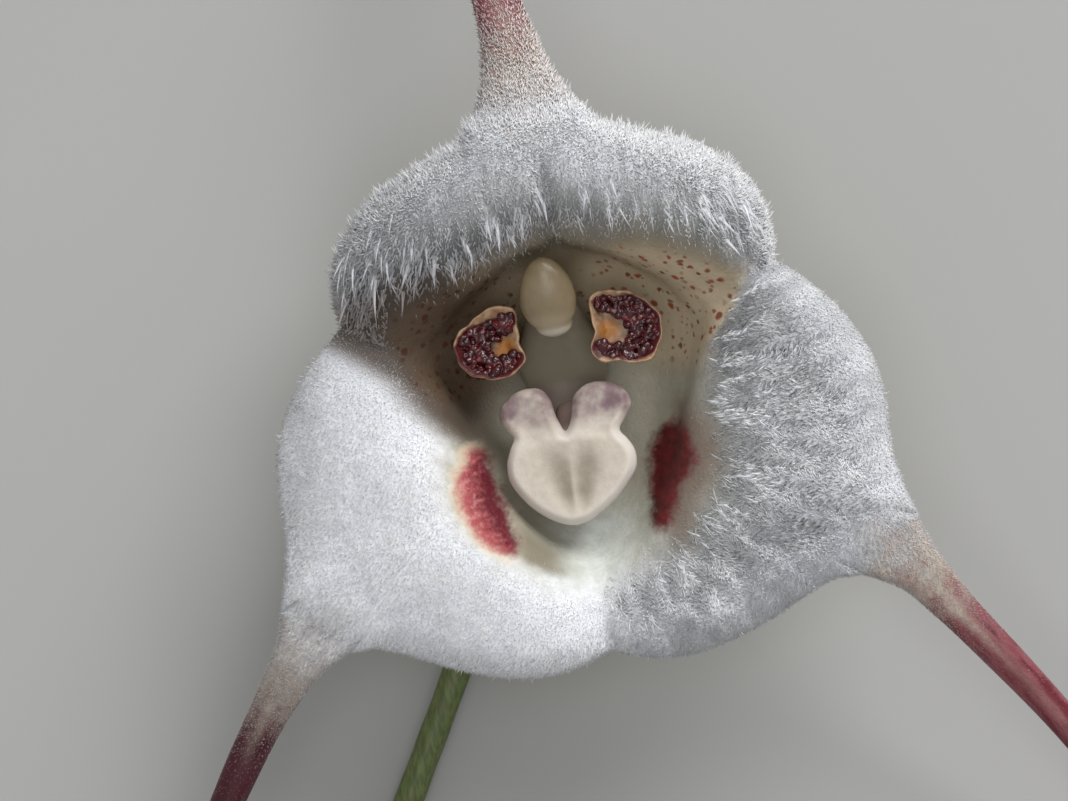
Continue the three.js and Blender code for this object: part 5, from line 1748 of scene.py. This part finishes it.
class ORCHID_OT_petals(bpy.types.Operator):
    """Build the two petals and their glossy warts"""

    bl_idname = "orchid.petals"
    bl_label = "Petals"

    def execute(self, context):
        settings = context.scene.orchid_face
        skin_of_petal = petal_material(settings)
        skin_of_wart = wart_material(settings)
        tree = wart_tree(skin_of_wart)
        for word, side in (("right", 1), ("left", -1)):
            name = "petal_face_" + word
            add_piece(name, petal_mesh(name, side), skin_of_petal, "petal", "petal_" + word)
            places = bpy.data.meshes.new("wart places")
            points = wart_points(side, settings.wart_radius / MM)
            places.from_pydata((points + THROAT) * MM, [], [])
            grown = new_object("wart places", places)
            modifier = grown.modifiers.new("warts", "NODES")
            modifier.node_group = tree
            set_inputs(modifier, Radius=settings.wart_radius, Seed=RANDOM_SEED + side)
            one_skin(grown, WART_VOXEL, 2)
            warts = plain_mesh(grown, "warts_" + word)
            warts.data.materials.clear()
            warts.data.materials.append(skin_of_wart)
            finish_piece(warts, "petal")
            bpy.data.meshes.remove(places)
        bpy.data.node_groups.remove(tree)
        return {"FINISHED"}


class ORCHID_OT_lip(bpy.types.Operator):
    """Build the lip: its heart-shaped blade, its two ears and its claw"""

    bl_idname = "orchid.lip"
    bl_label = "Lip"

    def execute(self, context):
        points, faces = joined([lip_blade(), lip_claw()])
        x, y = rotated(points[:, 0], points[:, 1] - LIP_HINGE, LIP_TURN)
        points[:, 0] = x + FACE_X
        points[:, 1] = y + LIP_HINGE
        rough = new_object("lip parts", mesh_from("lip parts", points, faces))
        one_skin(rough, LIP_VOXEL, 8)
        piece = plain_mesh(rough, "lip_heart")
        colour_lip(piece.data)
        piece.data.materials.append(lip_material(context.scene.orchid_face))
        finish_piece(piece, "lip", "lip")
        return {"FINISHED"}


class ORCHID_OT_column(bpy.types.Operator):
    """Build the column and its anther cap"""

    bl_idname = "orchid.column"
    bl_label = "Column"

    def execute(self, context):
        settings = context.scene.orchid_face
        add_piece("column_body", column_mesh(), column_material(settings), "column", "column")
        rough = new_object("cap parts", cap_mesh())
        one_skin(rough, CAP_VOXEL, 10)
        cap = plain_mesh(rough, "anther_hood")
        cap.data.materials.append(cap_material(settings))
        finish_piece(cap, "anther_cap", "anther_cap")
        return {"FINISHED"}


class ORCHID_OT_stalk(bpy.types.Operator):
    """Build the ribbed ovary, its bract and the cut stem"""

    bl_idname = "orchid.stalk"
    bl_label = "Ovary, bract and stem"

    def execute(self, context):
        settings = context.scene.orchid_stalk
        for mesh, material, slot, solid in (
            (ovary_mesh(), ovary_material(settings), "green", "ovary"),
            (bract_mesh(), bract_material(settings), "bract", "bract"),
            (stem_mesh(), stem_material(settings), "green", "stem"),
        ):
            add_piece(mesh.name, mesh, material, slot, solid)
        return {"FINISHED"}


SENSOR = 36.0
VIEW_TILT = math.radians(4)  # the camera stands a little to the right of the throat's axis
VIEW_UP = (0.154, 0.988, 0.0)
VIEW_WIDTH = 48.06  # what the picture's width spans at the face
VIEW_TARGET = (0.0, 0.0, 9.8)
VIEW_SHIFT = (-0.0399, 0.0189)
VIEW_CLIP = (0.01, 10)
FLOOR_REACH = 1.2
WORLD_STRENGTH = 0.35
# Each light's place and size in metres, its share of the key light's power, and its colour.
LIGHTS = {
    "key": ((0.353, 0.465, 0.394), 0.44, 0.79, (1.0, 0.995, 0.985)),
    "fill": ((0.04, -0.08, 0.9), 0.5, 0.32, (0.99, 0.993, 1.0)),
}


class ORCHID_OT_stage(bpy.types.Operator):
    """Lay the floor, hang the lights and stand the camera"""

    bl_idname = "orchid.stage"
    bl_label = "Floor, lights and camera"

    def execute(self, context):
        settings = context.scene.orchid_stage
        scene = context.scene
        floor = bpy.data.meshes.new("floor")
        corners = [(x * FLOOR_REACH, y * FLOOR_REACH, 0) for x, y in ((-1, -1), (1, -1), (1, 1), (-1, 1))]
        floor.from_pydata(corners, [], [(0, 1, 2, 3)])
        material, tree, place = new_material("matt floor", Roughness=0.85)
        tone = blend(rising(patches(place, 30.0), 0.3, 0.7, 0.0, 0.25), settings.floor,
                     linear(164, 164, 163))
        floor.materials.append(finished(material, tone))
        new_object("floor", floor)

        target = Vector((np.array(VIEW_TARGET) + THROAT) * MM)
        camera = bpy.data.objects.new("camera", bpy.data.cameras.new("camera"))
        scene.collection.objects.link(camera)
        back = Vector((math.sin(VIEW_TILT), 0, math.cos(VIEW_TILT)))
        right = Vector(VIEW_UP).cross(back).normalized()
        up = back.cross(right)
        camera.matrix_world = Matrix.Translation(target + back * settings.distance) @ Matrix(
            (right, up, back)
        ).transposed().to_4x4()
        camera.data.sensor_width = SENSOR
        camera.data.lens = SENSOR * settings.distance / (VIEW_WIDTH * MM)
        camera.data.shift_x, camera.data.shift_y = VIEW_SHIFT
        camera.data.clip_start, camera.data.clip_end = VIEW_CLIP
        scene.camera = camera

        for name, (where, size, share, colour) in LIGHTS.items():
            light = bpy.data.lights.new(name, "AREA")
            light.energy = settings.key_power * share
            light.size = size
            light.color = colour
            lamp = bpy.data.objects.new(name, light)
            scene.collection.objects.link(lamp)
            lamp.location = Vector(where)
            lamp.rotation_euler = (target - lamp.location).to_track_quat("-Z", "Y").to_euler()
        world = bpy.data.worlds.new("studio")
        world.use_nodes = True
        sky = world.node_tree.nodes["Background"].inputs
        sky["Color"].default_value = (1.0, 1.0, 1.0, 1.0)
        sky["Strength"].default_value = WORLD_STRENGTH
        scene.world = world
        scene.view_settings.view_transform = "Standard"
        return {"FINISHED"}


OPERATORS = (
    ORCHID_OT_stage,
    ORCHID_OT_sepals,
    ORCHID_OT_hairs,
    ORCHID_OT_petals,
    ORCHID_OT_lip,
    ORCHID_OT_column,
    ORCHID_OT_stalk,
)
SETTINGS = {
    "orchid_sepals": OrchidSepalSettings,
    "orchid_hairs": OrchidHairSettings,
    "orchid_face": OrchidFaceSettings,
    "orchid_stalk": OrchidStalkSettings,
    "orchid_stage": OrchidStageSettings,
}


class ORCHID_PT_flower(bpy.types.Panel):
    """The flower's settings, and a button for each of its pieces"""

    bl_idname = "ORCHID_PT_flower"
    bl_label = "Monkey Face Orchid"
    bl_space_type = "VIEW_3D"
    bl_region_type = "UI"
    bl_category = "Orchid"

    def draw(self, context):
        for operator in OPERATORS:
            self.layout.operator(operator.bl_idname)
        for key, group in SETTINGS.items():
            box = self.layout.box()
            for name in group.__annotations__:
                box.prop(getattr(context.scene, key), name)


def register():
    for group in SETTINGS.values():
        bpy.utils.register_class(group)
    for key, group in SETTINGS.items():
        setattr(bpy.types.Scene, key, bpy.props.PointerProperty(type=group))
    for operator in OPERATORS:
        bpy.utils.register_class(operator)
    bpy.utils.register_class(ORCHID_PT_flower)


def unregister():
    bpy.utils.unregister_class(ORCHID_PT_flower)
    for operator in reversed(OPERATORS):
        bpy.utils.unregister_class(operator)
    for key in SETTINGS:
        delattr(bpy.types.Scene, key)
    for group in reversed(list(SETTINGS.values())):
        bpy.utils.unregister_class(group)


def main():
    register()
    bpy.ops.orchid.stage()
    bpy.ops.orchid.sepals()
    bpy.ops.orchid.hairs()
    bpy.ops.orchid.petals()
    bpy.ops.orchid.lip()
    bpy.ops.orchid.column()
    bpy.ops.orchid.stalk()


if __name__ == "__main__":
    main()
